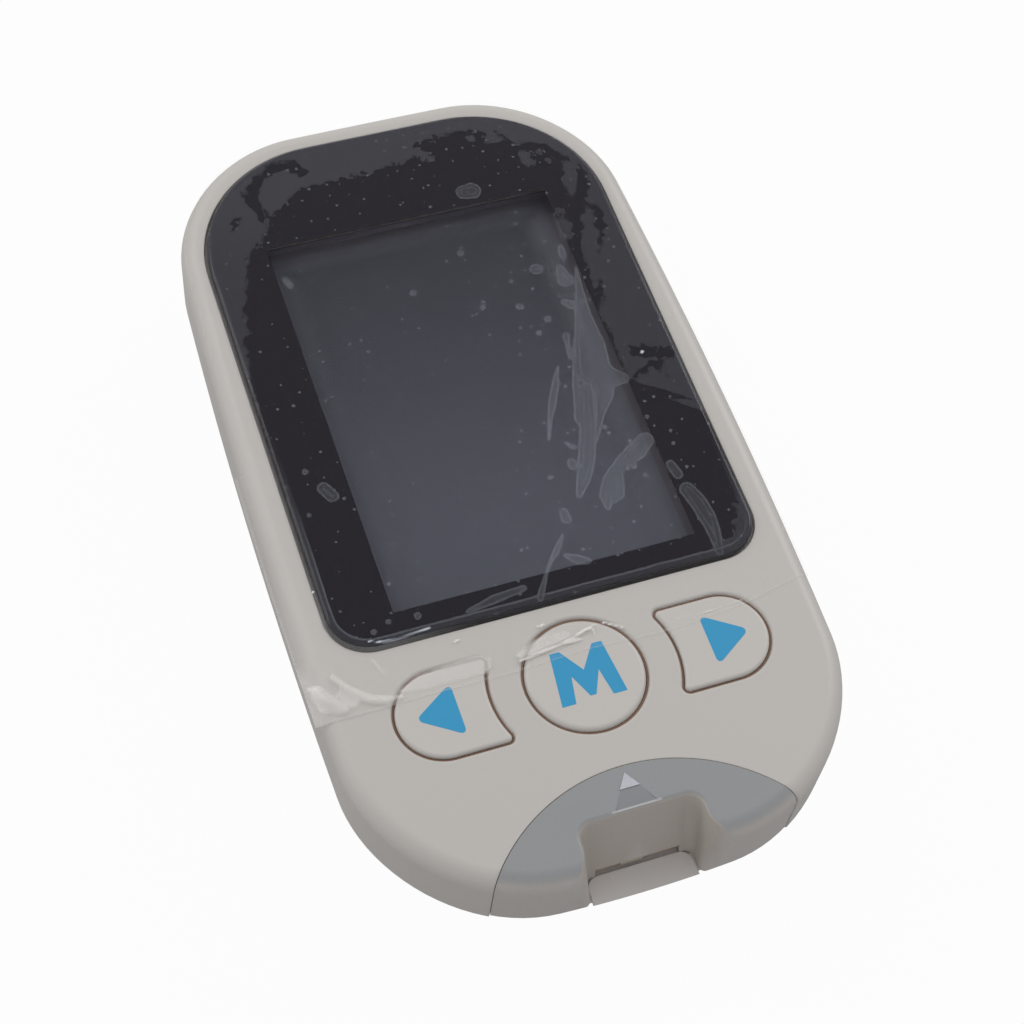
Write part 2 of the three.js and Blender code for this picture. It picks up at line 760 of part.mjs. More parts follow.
function makeBatteryDoor() {
  const outer = loft(rearLevels(0));
  const inner = loft(rearLevels(wallThickness, hiddenSteps));
  const plate = outer.subtract(inner).intersect(doorSpace(0));
  const half = bayHalfWidth - clearance;
  const rails = [];
  for (let i = 0; i < railCount; i++) {
    const start = bayStartY + railLength / 2 + i * railSpacing;
    const low = lipThickness + clearance;
    rails.push(block(-half, half, start, start + railLength, low, low + railThickness));
  }
  const grips = [];
  for (let i = 0; i < gripCount; i++) {
    const start = gripY + i * gripSpacing;
    grips.push(block(-gripHalfLength, gripHalfLength, start, start + gripWidth, -overrun, gripDepth));
  }
  return plate.add(union(rails)).subtract(union(grips));
}

function makeMainBoard() {
  const low = block(-casingWidth, casingWidth, boardEndY, casingLength, 0, casingHeight);
  const notches = caseScrewPlaces.map(([x, y]) =>
    post(x, y, frontBossRadius + clearance, 0, casingHeight));
  const screwHoles = mirrored((side) =>
    post(side * boardScrewX, displayCenterY, boardScrewShankRadius + clearance, 0, casingHeight));
  return prism(casingOutline(boardInset), boardBottom, boardTop)
    .intersect(low)
    .subtract(union([...notches, ...screwHoles]));
}

function makeStripConnector() {
  const body = block(
    -socketHalfWidth, socketHalfWidth, socketFrontY, socketBackY, socketBottom, boardBottom);
  const throat = block(
    -socketThroatHalfWidth, socketThroatHalfWidth, socketFrontY - overrun, socketBackY + overrun,
    socketThroatBottom, socketThroatTop);
  return body.subtract(throat);
}

// One leaf contact, bent from strip: a tail at the board, a run and a dipped tip
function makeStripContact() {
  const t = contactThickness;
  const run = contactRunHeight;
  const contactTipY = socketFrontY + socketLength * contactTipShare;
  const contactBendY = socketFrontY + socketLength * contactBendShare;
  const contactRootY = socketFrontY + socketLength * contactRootShare;
  const contactTailY = socketBackY + contactTail;
  const tailTop = boardBottom - clearance;
  const side = [
    [contactTailY, tailTop], [contactTailY - t, tailTop], [contactTailY - t, run + t],
    [contactRootY, run + t],
    [contactBendY, run + t - contactDip], [contactTipY, run + t - contactDip + contactTipRise],
    [contactTipY, run - contactDip + contactTipRise], [contactBendY, run - contactDip],
    [contactRootY, run], [contactTailY, run],
  ];
  const shape = new THREE.Shape(side.map(([y, z]) => new THREE.Vector2(y, z)));
  const geometry = new THREE.ExtrudeGeometry(shape, { depth: contactWidth, bevelEnabled: false });
  geometry.rotateX(Math.PI / 2);
  geometry.rotateZ(Math.PI / 2);
  geometry.translate(-contactWidth / 2, 0, 0);
  return solidOf(geometry);
}

function makeCell() {
  const body = cellLength - cellNubLength;
  return turned([
    [0, 0], [cellRadius - cellEdge, 0], [cellRadius, cellEdge], [cellRadius, body - cellEdge],
    [cellRadius - cellEdge, body], [cellNubRadius, body], [cellNubRadius, cellLength], [0, cellLength],
  ], cellSteps);
}

// Contact plates stand on edge across the bay. A spring meets a cell's flat end and a dimple its nub.
function contactPad(x, wallY, direction, isSpring) {
  const near = wallY + direction * clearance;
  const face = near + direction * contactPlate;
  const reach = isSpring ? springLength : dimpleHeight;
  const geometry = new THREE.CylinderGeometry(
    isSpring ? springTipRadius : dimpleRadius * dimpleTipShare, isSpring ? springRadius : dimpleRadius,
    reach + contactPlate / 2, smallRoundSteps);
  if (direction < 0) geometry.rotateZ(Math.PI);
  geometry.translate(x, face + direction * (reach - contactPlate / 2) / 2, cellCenterHeight);
  return solidOf(geometry);
}

function contactPlateBlock(left, right, wallY, direction) {
  const near = wallY + direction * clearance;
  const far = near + direction * contactPlate;
  const low = cellCenterHeight - plateHeight / 2;
  return block(left, right, Math.min(near, far), Math.max(near, far), low, low + plateHeight);
}

function makeContactBridge() {
  return contactPlateBlock(-cellX - plateHalfWidth, cellX + plateHalfWidth, bayStartY, 1)
    .add(contactPad(-cellX, bayStartY, 1, true))
    .add(contactPad(cellX, bayStartY, 1, false));
}

function makeSingleContact(x, isSpring) {
  return contactPlateBlock(x - plateHalfWidth, x + plateHalfWidth, bayEndY, -1)
    .add(contactPad(x, bayEndY, -1, isSpring));
}

function makeScrew(headRadius, headThickness, shankRadius, length, tip) {
  return turned([
    [0, -headThickness], [headRadius * screwCrownShare, -headThickness], [headRadius, -headThickness / 2],
    [headRadius, 0], [shankRadius, 0], [shankRadius, length - tip], [0, length],
  ], smallRoundSteps);
}

function makeBuzzer() {
  const x = -besideBayX(buzzerRadius);
  const y = bayStartY + buzzerAlongBay;
  const low = boardBottom - buzzerThickness;
  return post(x, y, buzzerRadius, low, boardBottom)
    .subtract(post(x, y, buzzerSoundRadius, low - overrun, low + buzzerSoundDepth));
}

// The film lies on the window, steps down round it and lies on the upper casing, where it ends
// in a wavy free edge over the keys
function makeScreenFilm() {
  const half = casingWidth / 2;
  const edge = [];
  for (let i = 0; i <= filmEdgeSteps; i++) {
    const share = i / filmEdgeSteps;
    const level = keyCenterY + filmEdgeLeft + (filmEdgeRight - filmEdgeLeft) * share;
    const y = level + filmEdgeWave * Math.sin(share * filmEdgeWaves * 2 * Math.PI);
    edge.push(new THREE.Vector2(-half + casingWidth * share, y));
  }
  const points = [...edge, new THREE.Vector2(half, topEndY), new THREE.Vector2(-half, topEndY)];
  const onCasing = casingHeight + clearance;
  const onLens = lensTop + filmGap;
  const top = onLens + filmThickness;
  const cavity = prism(lensOutline(-filmStep), onCasing - overrun, onLens);
  const outside = prism(casingOutline(-overrun), onCasing + filmThickness, top + overrun)
    .subtract(prism(lensOutline(-filmStep - filmThickness), onCasing, top + 2 * overrun));
  return prism(casingOutline(filmInset), onCasing, top)
    .subtract(cavity.add(outside))
    .intersect(prism(points, casingHeight, top + overrun));
}

// Assembly
const meter = new THREE.Group();
meter.name = 'blood_meter';

function addNode(name, shape, material, parent = meter) {
  const geometry = shape.isBufferGeometry ? shape : geometryOf(shape);
  const mesh = new THREE.Mesh(geometry, material);
  mesh.name = name;
  parent.add(mesh);
  return mesh;
}

addNode('front_casing', makeFrontCasing(), ivoryPlastic);
addNode('rear_casing', makeRearCasing(), ivoryPlastic);
addNode('battery_door', makeBatteryDoor(), ivoryPlastic);
addNode('window_lens', makeWindowLens(), blackLens);
addNode('lens_tape', makeLensTape(), foilTape);
addNode('lcd_panel', makeDisplayPanel(), displayGlass);
addNode('lcd_reflector', makeReflector(), whitePlastic);
addNode('lcd_frame', makeDisplayFrame(), whitePlastic);
addNode('lcd_connector', makeDisplayConnector(), darkRubber);
addNode('menu_button', makeKey(menuKeyOutline, 0), ivoryPlastic);
addNode('left_button', makeKey(leftKeyOutline, -sideKeyStemX), ivoryPlastic);
addNode('right_button', makeKey(rightKeyOutline, sideKeyStemX), ivoryPlastic);
addNode('keypad_mat', makeKeypadMat(), paleRubber);
addNode('strip_port_cover', makeStripPortCover(), frostedPlastic);
addNode('main_board', makeMainBoard(), boardGreen);
addNode('strip_connector', makeStripConnector(), blackPlastic);
addNode('buzzer', makeBuzzer(), blackPlastic);
addNode('contact_bridge', makeContactBridge(), springMetal);
addNode('contact_negative', makeSingleContact(cellX, true), springMetal);
addNode('contact_positive', makeSingleContact(-cellX, false), springMetal);
addNode('screen_film', makeScreenFilm(), clearFilm);

const chips = new THREE.Group();
chips.position.z = boardBottom;
meter.add(chips);
function addChip(name, x, y, width, length, thickness) {
  const chip = addNode(name, new THREE.BoxGeometry(width, length, thickness), blackPlastic, chips);
  chip.position.set(x, y, -thickness / 2);
}
addChip('processor_chip', besideBayX(processorSize / 2), bayStartY + processorAlongBay,
  processorSize, processorSize, processorThickness);
addChip('amplifier_chip', besideBayX(amplifierWidth / 2), bayStartY + amplifierAlongBay,
  amplifierWidth, amplifierLength, amplifierThickness);
addChip('memory_chip', -besideBayX(memoryWidth / 2), bayStartY + memoryAlongBay,
  memoryWidth, memoryLength, memoryThickness);

for (let i = 0; i < contactCount; i++) {
  const contact = addNode(`strip_contact_${i + 1}`, makeStripContact(), springMetal);
  contact.position.x = (i - (contactCount - 1) / 2) * contactPitch;
}

// The first cell points its nub at the top end, the second points it at the strip end
const firstCell = addNode('battery_1', makeCell(), cellJacket);
firstCell.position.set(-cellX, bayStartY + negativeEndLength, cellCenterHeight);
firstCell.rotation.x = -Math.PI / 2;
const secondCell = addNode('battery_2', makeCell(), cellJacket);
secondCell.position.set(cellX, bayEndY - negativeEndLength, cellCenterHeight);
secondCell.rotation.x = Math.PI / 2;

caseScrewPlaces.forEach(([x, y], i) => {
  const screw = addNode(`case_screw_${i + 1}`,
    makeScrew(screwHeadRadius, screwHeadThickness, screwShankRadius, screwLength, screwTip), screwSteel);
  screw.position.set(x, y, screwSeatHeight);
});

mirrored((side) => side).forEach((side, i) => {
  const shape = makeScrew(
    boardScrewHeadRadius, boardScrewHeadThickness, boardScrewShankRadius, boardScrewLength, boardScrewTip);
  const screw = addNode(`board_screw_${i + 1}`, shape, screwSteel);
  screw.position.set(side * boardScrewX, displayCenterY, boardBottom);
});

export default meter;
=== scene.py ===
# %% [markdown]
# # A hand-held blood meter on a pale table
# The real meter is two moulded halves, a glossy black window, three keys, a frosted cover over the
# strip slot and a sheet of protective film that is still on it.
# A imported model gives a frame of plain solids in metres. This lesson keeps the hidden ones, gives each
# a finish, and puts a finer piece in the place of every solid that shows its facets.

# %% Load the frame
import math

import bmesh
import bpy
from mathutils import Matrix, Vector, noise


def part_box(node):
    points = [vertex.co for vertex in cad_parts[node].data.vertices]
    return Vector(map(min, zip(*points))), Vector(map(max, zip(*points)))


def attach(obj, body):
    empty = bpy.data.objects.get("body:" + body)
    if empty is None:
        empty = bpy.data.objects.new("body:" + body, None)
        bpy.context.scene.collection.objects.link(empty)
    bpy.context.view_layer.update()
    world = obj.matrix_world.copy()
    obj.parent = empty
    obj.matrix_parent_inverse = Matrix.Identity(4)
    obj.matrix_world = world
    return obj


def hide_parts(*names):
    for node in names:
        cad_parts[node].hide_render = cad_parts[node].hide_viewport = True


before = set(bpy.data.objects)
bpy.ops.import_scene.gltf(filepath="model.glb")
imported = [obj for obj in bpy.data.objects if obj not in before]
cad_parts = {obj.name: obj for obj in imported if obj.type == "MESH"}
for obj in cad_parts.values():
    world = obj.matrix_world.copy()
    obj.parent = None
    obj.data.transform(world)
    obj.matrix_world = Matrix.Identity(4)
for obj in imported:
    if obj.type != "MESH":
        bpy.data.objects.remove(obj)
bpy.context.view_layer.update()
print("nodes in the frame:", len(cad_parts))

# %% [markdown]
# ## Camera
# The photograph was taken by hand from above the strip end, a little to the left and slightly rolled.
# The place, the aim and the roll were found by matching the corners of the window and the outline, so
# the same values are set here. A long lens keeps the sides of the meter nearly parallel. Lamps are
# aimed by the same function later.

# %% Place the camera
MM = 0.001
CAMERA_PLACE = (-51.53, -112.01, 209.19)
CAMERA_AIM = (-0.97, -7.89, 19.6)
CAMERA_ROLL = 8.26
CAMERA_LENS = 72.8
CAMERA_SENSOR = 36.0


def add_object(name, data):
    made = bpy.data.objects.new(name, data)
    bpy.context.scene.collection.objects.link(made)
    return made


def mesh_object(name, bm):
    """Turns a shape into an object and frees the shape."""
    mesh = bpy.data.meshes.new(name)
    bm.to_mesh(mesh)
    bm.free()
    return add_object(name, mesh)


def aimed(place, aim=(0, 0, 0), roll=0.0):
    """Matrix of a thing that stands at a place and looks at an aim, both in millimetres."""
    start = Vector(place) * MM
    turn = (Vector(aim) * MM - start).to_track_quat("-Z", "Y").to_matrix()
    turn = turn @ Matrix.Rotation(math.radians(roll), 3, "Z")
    return Matrix.Translation(start) @ turn.to_4x4()


camera_data = bpy.data.cameras.new("camera")
camera_data.lens = CAMERA_LENS
camera_data.sensor_width = CAMERA_SENSOR
camera = add_object("camera", camera_data)
camera.matrix_world = aimed(CAMERA_PLACE, CAMERA_AIM, CAMERA_ROLL)
bpy.context.scene.camera = camera
print("camera stands", round(CAMERA_PLACE[2]), "mm above the table")

# %% [markdown]
# ## Sums on sockets
# A finish varies over its surface, and each sum would be a Math node drawn by hand. A small class wraps
# a socket, so that an expression such as 1 - mask * 0.5 adds those nodes. One more method adds every
# other kind of node from its type, its settings and the values of its sockets.

# %% Define the paint kit
def sum_methods(operation):
    """The method of a sign, and the one for a plain number that stands before the sign."""
    return (
        lambda self, value: self.paint.sum(operation, self, value),
        lambda self, value: self.paint.sum(operation, value, self))


class Varying:
    """A number or colour that varies over a surface."""

    __add__, __radd__ = sum_methods("ADD")
    __sub__, __rsub__ = sum_methods("SUBTRACT")
    __mul__, __rmul__ = sum_methods("MULTIPLY")
    __pow__, __rpow__ = sum_methods("POWER")

    def __init__(self, paint, socket):
        self.paint = paint
        self.socket = socket

    def other(self, name):
        return Varying(self.paint, self.socket.node.outputs[name])

    def __abs__(self):
        return self.paint.sum("ABSOLUTE", self)

    def least(self, value):
        return self.paint.sum("MINIMUM", self, value)

    def most(self, value):
        return self.paint.sum("MAXIMUM", self, value)

    def rise(self, low, high):
        """Goes smoothly from 0 to 1 as the value goes from low to high."""
        values = {"Value": self, "From Min": low, "From Max": high}
        return self.paint.add("ShaderNodeMapRange", {"interpolation_type": "SMOOTHSTEP"}, values)

    def fall(self, low, high):
        return 1 - self.rise(low, high)


class Paint:
    """A material, with its surface shader and the nodes that vary it."""

    def __init__(self, name, constants):
        self.material = bpy.data.materials.new(name)
        self.material.use_nodes = True
        self.tree = self.material.node_tree
        self.surface = self.tree.nodes["Principled BSDF"]
        for socket, value in constants.items():
            self.surface.inputs[socket].default_value = value

    def feed(self, socket, value):
        if isinstance(value, Varying):
            self.tree.links.new(value.socket, socket)
        else:
            socket.default_value = value

    def add(self, kind, settings, values, output=0):
        node = self.tree.nodes.new(kind)
        for name, value in settings.items():
            setattr(node, name, value)
        for name, value in values.items():
            self.feed(node.inputs[name], value)
        return Varying(self, node.outputs[output])

    def sum(self, operation, *values):
        return self.add("ShaderNodeMath", {"operation": operation}, dict(enumerate(values)))

    def where(self):
        """Object coordinates in metres."""
        return self.add("ShaderNodeTexCoord", {}, {}, "Object")

    def place(self):
        """Object coordinates as three numbers in millimetres."""
        scaled = self.add("ShaderNodeVectorMath", {"operation": "SCALE"}, {0: self.where(), "Scale": 1 / MM})
        x = self.add("ShaderNodeSeparateXYZ", {}, {0: scaled})
        return x, x.other("Y"), x.other("Z")

    def noise(self, scale, detail=2.0, roughness=0.5, vector=None):
        """Soft noise. Scale is in waves per metre, or per unit of the vector."""
        values = {"Vector": vector or self.where(), "Scale": scale, "Detail": detail, "Roughness": roughness}
        return self.add("ShaderNodeTexNoise", {}, values)

    def blend(self, share, first, second):
        """A colour that goes from the first to the second as the share goes from 0 to 1."""
        return self.add("ShaderNodeMix", {"data_type": "RGBA"}, {0: share, 6: first, 7: second}, 2)

    def set(self, socket, value):
        self.feed(self.surface.inputs[socket], value)

    def done(self, tone, roughness, relief=None, depth=0.0, strength=0.3):
        """Sets what each finish has, and gives the material. The depth of the relief is in metres."""
        self.set("Base Color", tone)
        self.set("Roughness", roughness)
        if relief:
            values = {"Height": relief, "Distance": depth, "Strength": strength}
            self.set("Normal", self.add("ShaderNodeBump", {}, values))
        return self.material


def colour(*levels):
    """A colour as a screen shows it, 0 to 255, turned into the linear light that a shader takes."""
    shares = (level / 255 for level in levels)
    return (*(v / 12.92 if v <= 0.04045 else ((v + 0.055) / 1.055) ** 2.4 for v in shares), 1.0)


print("an off-white in linear light:", [round(value, 3) for value in colour(184, 180, 177)])

# %% [markdown]
# ## Light, table and background
# The photograph is a cut-out on white under soft room light that comes from above the far end, so the
# wall at the strip end is darker than the top. Two broad lamps beyond the far end make that slope, one
# at each side so that the glossy window doesn't mirror them. A weak low lamp lights the left side, and
# an even sky fills the rest. Camera rays see a nearly white table that keeps a soft shadow.
# The table has one side only, and under the rest face it lets the sky's light through, so that the
# back of the meter can be looked at from below.

# %% Light the scene
SKY_LEVEL = 0.6
LAMPS = (
    ("left_lamp", (-300, 480, 640), 1.15), ("right_lamp", (640, 330, 520), 1.95),
    ("side_lamp", (-600, 330, 330), 0.8))
LAMP_SIZE = 400
TABLE_SIZE = 6000
TABLE_SHADE = colour(192, 192, 192)
TABLE_WHITE = 0.965
TABLE_GAP = 0.03
REST_HALF, REST_REACH, REST_EDGE = 17.0, 44.0, 3.0


def seen_directly(paint):
    """1 for rays from the camera, off gloss and through glass, and 0 for rays that carry light."""
    path = paint.add("ShaderNodeLightPath", {}, {}, "Is Camera Ray")
    return path.most(path.other("Is Glossy Ray")).most(path.other("Is Transmission Ray"))


class Sky(Paint):
    """The world has the same kind of node tree as a material."""

    def __init__(self, world):
        self.tree = world.node_tree


def light_scene():
    world = bpy.data.worlds.new("sky")
    world.use_nodes = True
    bpy.context.scene.world = world
    sky = Sky(world)
    strength = SKY_LEVEL + seen_directly(sky) * (1 - SKY_LEVEL)
    background = world.node_tree.nodes["Background"]
    background.inputs["Color"].default_value = (1, 1, 1, 1)
    sky.feed(background.inputs["Strength"], strength)
    for name, place, power in LAMPS:
        data = bpy.data.lights.new(name, "AREA")
        data.shape = "DISK"
        data.size = LAMP_SIZE * MM
        data.energy = power
        add_object(name, data).matrix_world = aimed(place)


def make_table():
    paint = Paint("table_white", {"Base Color": TABLE_SHADE, "Roughness": 0.9, "Specular IOR Level": 0.1})
    glow = paint.add("ShaderNodeEmission", {}, {"Color": (1, 1, 1, 1), "Strength": 1.0})
    path = paint.add("ShaderNodeLightPath", {}, {}, "Is Camera Ray")
    lit = Varying(paint, paint.surface.outputs[0])
    both = paint.add("ShaderNodeMixShader", {}, {0: path * TABLE_WHITE, 1: lit, 2: glow})
    x, y, z = paint.place()
    covered = (abs(x) - REST_HALF).most(abs(y) - REST_REACH).rise(REST_EDGE, 0.0)
    under = paint.add("ShaderNodeNewGeometry", {}, {}, "Backfacing").most(covered * (1 - path))
    clear = paint.add("ShaderNodeBsdfTransparent", {}, {})
    sided = paint.add("ShaderNodeMixShader", {}, {0: under, 1: both, 2: clear})
    paint.feed(paint.tree.nodes["Material Output"].inputs["Surface"], sided)
    bm = bmesh.new()
    bmesh.ops.create_grid(bm, x_segments=1, y_segments=1, size=TABLE_SIZE / 2 * MM)
    bmesh.ops.translate(bm, vec=(0, 0, -TABLE_GAP * MM), verts=bm.verts)
    table = mesh_object("table", bm)
    table.data.materials.append(paint.material)


light_scene()
make_table()
bpy.context.scene.view_settings.view_transform = "Standard"
print("lamps:", [name for name, place, power in LAMPS], "and a sky at", SKY_LEVEL)

# %% [markdown]
# ## Moulded plastic
# The casing is ABS from a finely spark-eroded mould: a satin skin with grain of a tenth of a
# millimetre, slow drift in tone, and no wear yet. Colour, roughness and grain are three layers of
# noise at their own scales. The same function makes the other plastics and rubbers with other values.

# %% Make the moulded finishes
GRAIN_SCALE, DRIFT_SCALE, DRIFT = 5200, 60, 0.05


def shade(tone, share):
    """The same colour with less or more light."""
    return tuple(min(1.0, value * share) for value in tone[:3]) + (1.0,)


def moulded(name, tone, roughness, grain=0.00003):
    paint = Paint(name, {"Specular IOR Level": 0.4})
    drift = paint.noise(DRIFT_SCALE, 3.0) * DRIFT * 2
    speck = paint.noise(GRAIN_SCALE, 2.0, 0.6)
    tone = paint.blend(drift + speck * DRIFT * 0.6, tone, shade(tone, 1 - DRIFT))
    roughness = roughness + (speck - 0.5) * 0.12 + (drift - DRIFT) * 0.4
    return paint.done(tone, roughness, speck + paint.noise(GRAIN_SCALE / 3) * 0.5, grain, 0.35)


casing_finish = moulded("casing_satin", colour(188, 184, 180), 0.42)
key_finish = moulded("key_satin", colour(192, 188, 184), 0.38)
white_plastic = moulded("white_plastic", colour(228, 228, 224), 0.5)
black_plastic = moulded("black_plastic", colour(34, 34, 36), 0.5)
silicone = moulded("keypad_silicone", colour(202, 204, 206), 0.7, 0.00002)
dark_rubber = moulded("zebra_rubber", colour(58, 58, 60), 0.8, 0.00002)
tape_finish = moulded("black_tape", colour(24, 24, 26), 0.85, 0.00002)
print("moulded finishes:", len(bpy.data.materials))

# %% [markdown]
# ## Metal, board and battery finishes
# These show when the battery door is open. Springs and plates are nickel-plated and smooth with faint
# draw marks, screws are duller, and the cells have a two-tone jacket round bright steel ends. The
# pattern on a cell follows the place along the bay, because both lie along it.

# %% Make the inner finishes
CELL_BAND, CELL_ENDS, CELL_STEEL_RADIUS = 12.0, 21.6, 4.6
CELL_BLUE, CELL_PALE, CELL_STEEL = colour(58, 84, 116), colour(196, 196, 190), colour(205, 205, 202)
TRACK_ROWS = {"Scale": 420.0, "Brick Width": 1.6, "Row Height": 0.32, "Mortar Size": 0.045}


def metal(name, tone, roughness, streak=900):
    paint = Paint(name, {"Metallic": 1.0})
    x, y, z = paint.place()
    stretched = paint.add("ShaderNodeCombineXYZ", {}, {0: x * 0.15, 1: y, 2: z})
    marks = paint.noise(streak * MM, 3.0, 0.6, stretched)
    tone = paint.blend(marks, tone, shade(tone, 0.72))
    return paint.done(tone, roughness + (marks - 0.5) * 0.2, marks, 0.00001, 0.4)


def cell_jacket(name, band_side):
    low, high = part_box(name)
    middle = (low + high) / 2 / MM
    paint = Paint(name + "_jacket", {"Coat Weight": 0.3, "Coat Roughness": 0.1})
    x, y, z = paint.place()
    along = (y - middle.y) * band_side
    across = ((x - middle.x) ** 2 + (z - middle.z) ** 2) ** 0.5
    jacket = paint.blend(along.rise(CELL_BAND, CELL_BAND + 0.1), CELL_BLUE, CELL_PALE)
    ends = abs(along).rise(CELL_ENDS - 0.05, CELL_ENDS)
    ends = ends.most(across.fall(CELL_STEEL_RADIUS, CELL_STEEL_RADIUS + 0.1))
    scuffs = paint.noise(700, 4.0)
    paint.set("Metallic", ends)
    return paint.done(paint.blend(ends, jacket, CELL_STEEL), 0.28 + scuffs * 0.14, scuffs, 0.00001)


def circuit_board():
    paint = Paint("solder_mask", {"Specular IOR Level": 0.6})
    values = {"Vector": paint.where(), **TRACK_ROWS}
    tracks = paint.add("ShaderNodeTexBrick", {"offset": 0.37}, values, "Fac")
    tone = paint.blend(tracks, colour(24, 88, 50), colour(46, 122, 74))
    return paint.done(tone, 0.3 + paint.noise(500) * 0.15, tracks, 0.00003, 0.5)


spring_metal = metal("nickel_plate", colour(214, 209, 196), 0.24)
screw_steel = metal("screw_steel", colour(150, 150, 152), 0.34, 1500)
board_finish = circuit_board()

# %% [markdown]
# ## Dress the hidden nodes
# Each solid that stays as it is gets its finish in its own material slot, and its shape isn't touched.
# The list goes by name, and the number of nodes it dresses is printed.

# %% Put finishes on the nodes
NODE_FINISHES = {
    "lens_tape": tape_finish, "lcd_reflector": white_plastic, "lcd_frame": white_plastic,
    "lcd_connector": dark_rubber, "keypad_mat": silicone, "main_board": board_finish,
    "battery_1": cell_jacket("battery_1", 1), "battery_2": cell_jacket("battery_2", -1)}
for node in ("strip_connector", "buzzer", "processor_chip", "amplifier_chip", "memory_chip"):
    NODE_FINISHES[node] = black_plastic
for number in (1, 2, 3, 4):
    NODE_FINISHES[f"strip_contact_{number}"] = spring_metal


def dress(node, finish):
    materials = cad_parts[node].data.materials
    if not materials:
        materials.append(finish)
    for i in range(len(materials)):
        materials[i] = finish


for node, finish in NODE_FINISHES.items():
    dress(node, finish)
print("dressed as they are:", len(NODE_FINISHES))

# %% [markdown]
# ## Helpers for finer pieces
# Pieces are shaped in millimetres, because bevels and cuts work best on numbers near one, and scaled
# to metres once. A piece starts as one face with rounded corners, which is extruded, bevelled and cut.
# Cuts go through the Boolean modifier's exact solver, which keeps round holes round.

# %% Define the shaping helpers
CORNER_STEPS = 22
SIDE_CUTS = 12
ROUND_STEPS = 96
SHARP_TURN = math.radians(35)


def move(bm, vec):
    bmesh.ops.translate(bm, vec=vec, verts=bm.verts)


def scale(bm, vec):
    bmesh.ops.scale(bm, vec=vec, verts=bm.verts)


def tilt(bm, angle):
    """Turns a shape about the X axis."""
    bmesh.ops.rotate(bm, cent=(0, 0, 0), matrix=Matrix.Rotation(angle, 3, "X"), verts=bm.verts)


def face_outwards(bm):
    bmesh.ops.recalc_face_normals(bm, faces=bm.faces)


def rounded_face(left, right, low, high, low_radius, high_radius, z=0.0, steps=CORNER_STEPS):
    """One flat face with rounded corners."""
    bm = bmesh.new()
    bmesh.ops.create_grid(bm, x_segments=1, y_segments=1, size=0.5)
    scale(bm, (right - left, high - low, 1))
    move(bm, ((left + right) / 2, (low + high) / 2, z))
    middle = (low + high) / 2
    for radius, side in ((low_radius, -1), (high_radius, 1)):
        if radius:
            corners = [v for v in bm.verts if (v.co.y - middle) * side > 0]
            bevel(bm, corners, radius, steps, "VERTICES")
    return bm


def bevel(bm, geometry, offset, segments, affect="EDGES"):
    bmesh.ops.bevel(
        bm, geom=geometry, offset=offset, offset_type="OFFSET", segments=segments, profile=0.5,
        affect=affect, material=-1, clamp_overlap=False, loop_slide=True)


def draw_in(bm, faces, thickness, depth=0.0):
    """Insets faces and gives the ring of new ones round them."""
    return bmesh.ops.inset_region(
        bm, faces=faces, thickness=thickness, depth=depth, use_boundary=True, use_even_offset=True)["faces"]


def raise_up(bm, height):
    """Extrudes the flat faces into a closed solid."""
    made = bmesh.ops.extrude_face_region(bm, geom=bm.faces[:])["geom"]
    verts = [part for part in made if isinstance(part, bmesh.types.BMVert)]
    bmesh.ops.translate(bm, vec=(0, 0, height), verts=verts)
    face_outwards(bm)
    return bm


def block(left, right, near, far, low, high):
    bm = bmesh.new()
    bmesh.ops.create_cube(bm, size=1.0)
    scale(bm, (right - left, far - near, high - low))
    move(bm, ((left + right) / 2, (near + far) / 2, (low + high) / 2))
    return bm


def post(x, y, radius, low, high, steps=ROUND_STEPS):
    bm = bmesh.new()
    bmesh.ops.create_cone(
        bm, cap_ends=True, segments=steps, radius1=radius, radius2=radius, depth=high - low)
    move(bm, (x, y, (low + high) / 2))
    return bm


def combine(first, second, operation="DIFFERENCE"):
    """Cuts, joins or crosses two closed solids, and uses both up."""
    body, tool = mesh_object("body", first), mesh_object("tool", second)
    boolean = body.modifiers.new("boolean", "BOOLEAN")
    boolean.operation, boolean.solver, boolean.object = operation, "EXACT", tool
    bpy.context.view_layer.update()
    shape = body.evaluated_get(bpy.context.evaluated_depsgraph_get())
    bm = bmesh.new()
    bm.from_mesh(shape.to_mesh())
    shape.to_mesh_clear()
    for used in (body, tool):
        mesh = used.data
        bpy.data.objects.remove(used)
        bpy.data.meshes.remove(mesh)
    bmesh.ops.remove_doubles(bm, verts=bm.verts, dist=0.002)
    return bm


def cut(bm, *tools):
    """Cuts one solid after another out of a shape."""
    for tool in tools:
        bm = combine(bm, tool)
    return bm


def sharp_edges(bm, wanted):
    """Edges that turn by more than an angle and whose middle passes a test."""
    turned_edges = [
        edge for edge in bm.edges if len(edge.link_faces) == 2 and edge.calc_face_angle() > SHARP_TURN]
    return [edge for edge in turned_edges if wanted((edge.verts[0].co + edge.verts[1].co) / 2)]


def bevel_top(bm, level, width, steps):
    """Rolls over the sharp edges that lie at the top of a shape."""
    bevel(bm, sharp_edges(bm, lambda middle: middle.z > level - 0.01), width, steps)


def finish_piece(name, bm, body, finish, replaces=(), sharp_angle=38.0):
    """Turns a shape in millimetres into a piece in metres that rides on a body."""
    face_outwards(bm)
    scale(bm, (MM, MM, MM))
    piece = mesh_object(name, bm)
    piece.data.shade_smooth()
    piece.data.set_sharp_from_angle(angle=math.radians(sharp_angle))
    even = piece.modifiers.new("even_shading", "WEIGHTED_NORMAL")
    even.keep_sharp = True
    piece.data.materials.append(finish)
    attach(piece, body)
    if replaces:
        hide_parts(*replaces)
    print(name, "has", len(piece.data.polygons), "faces")
    return piece


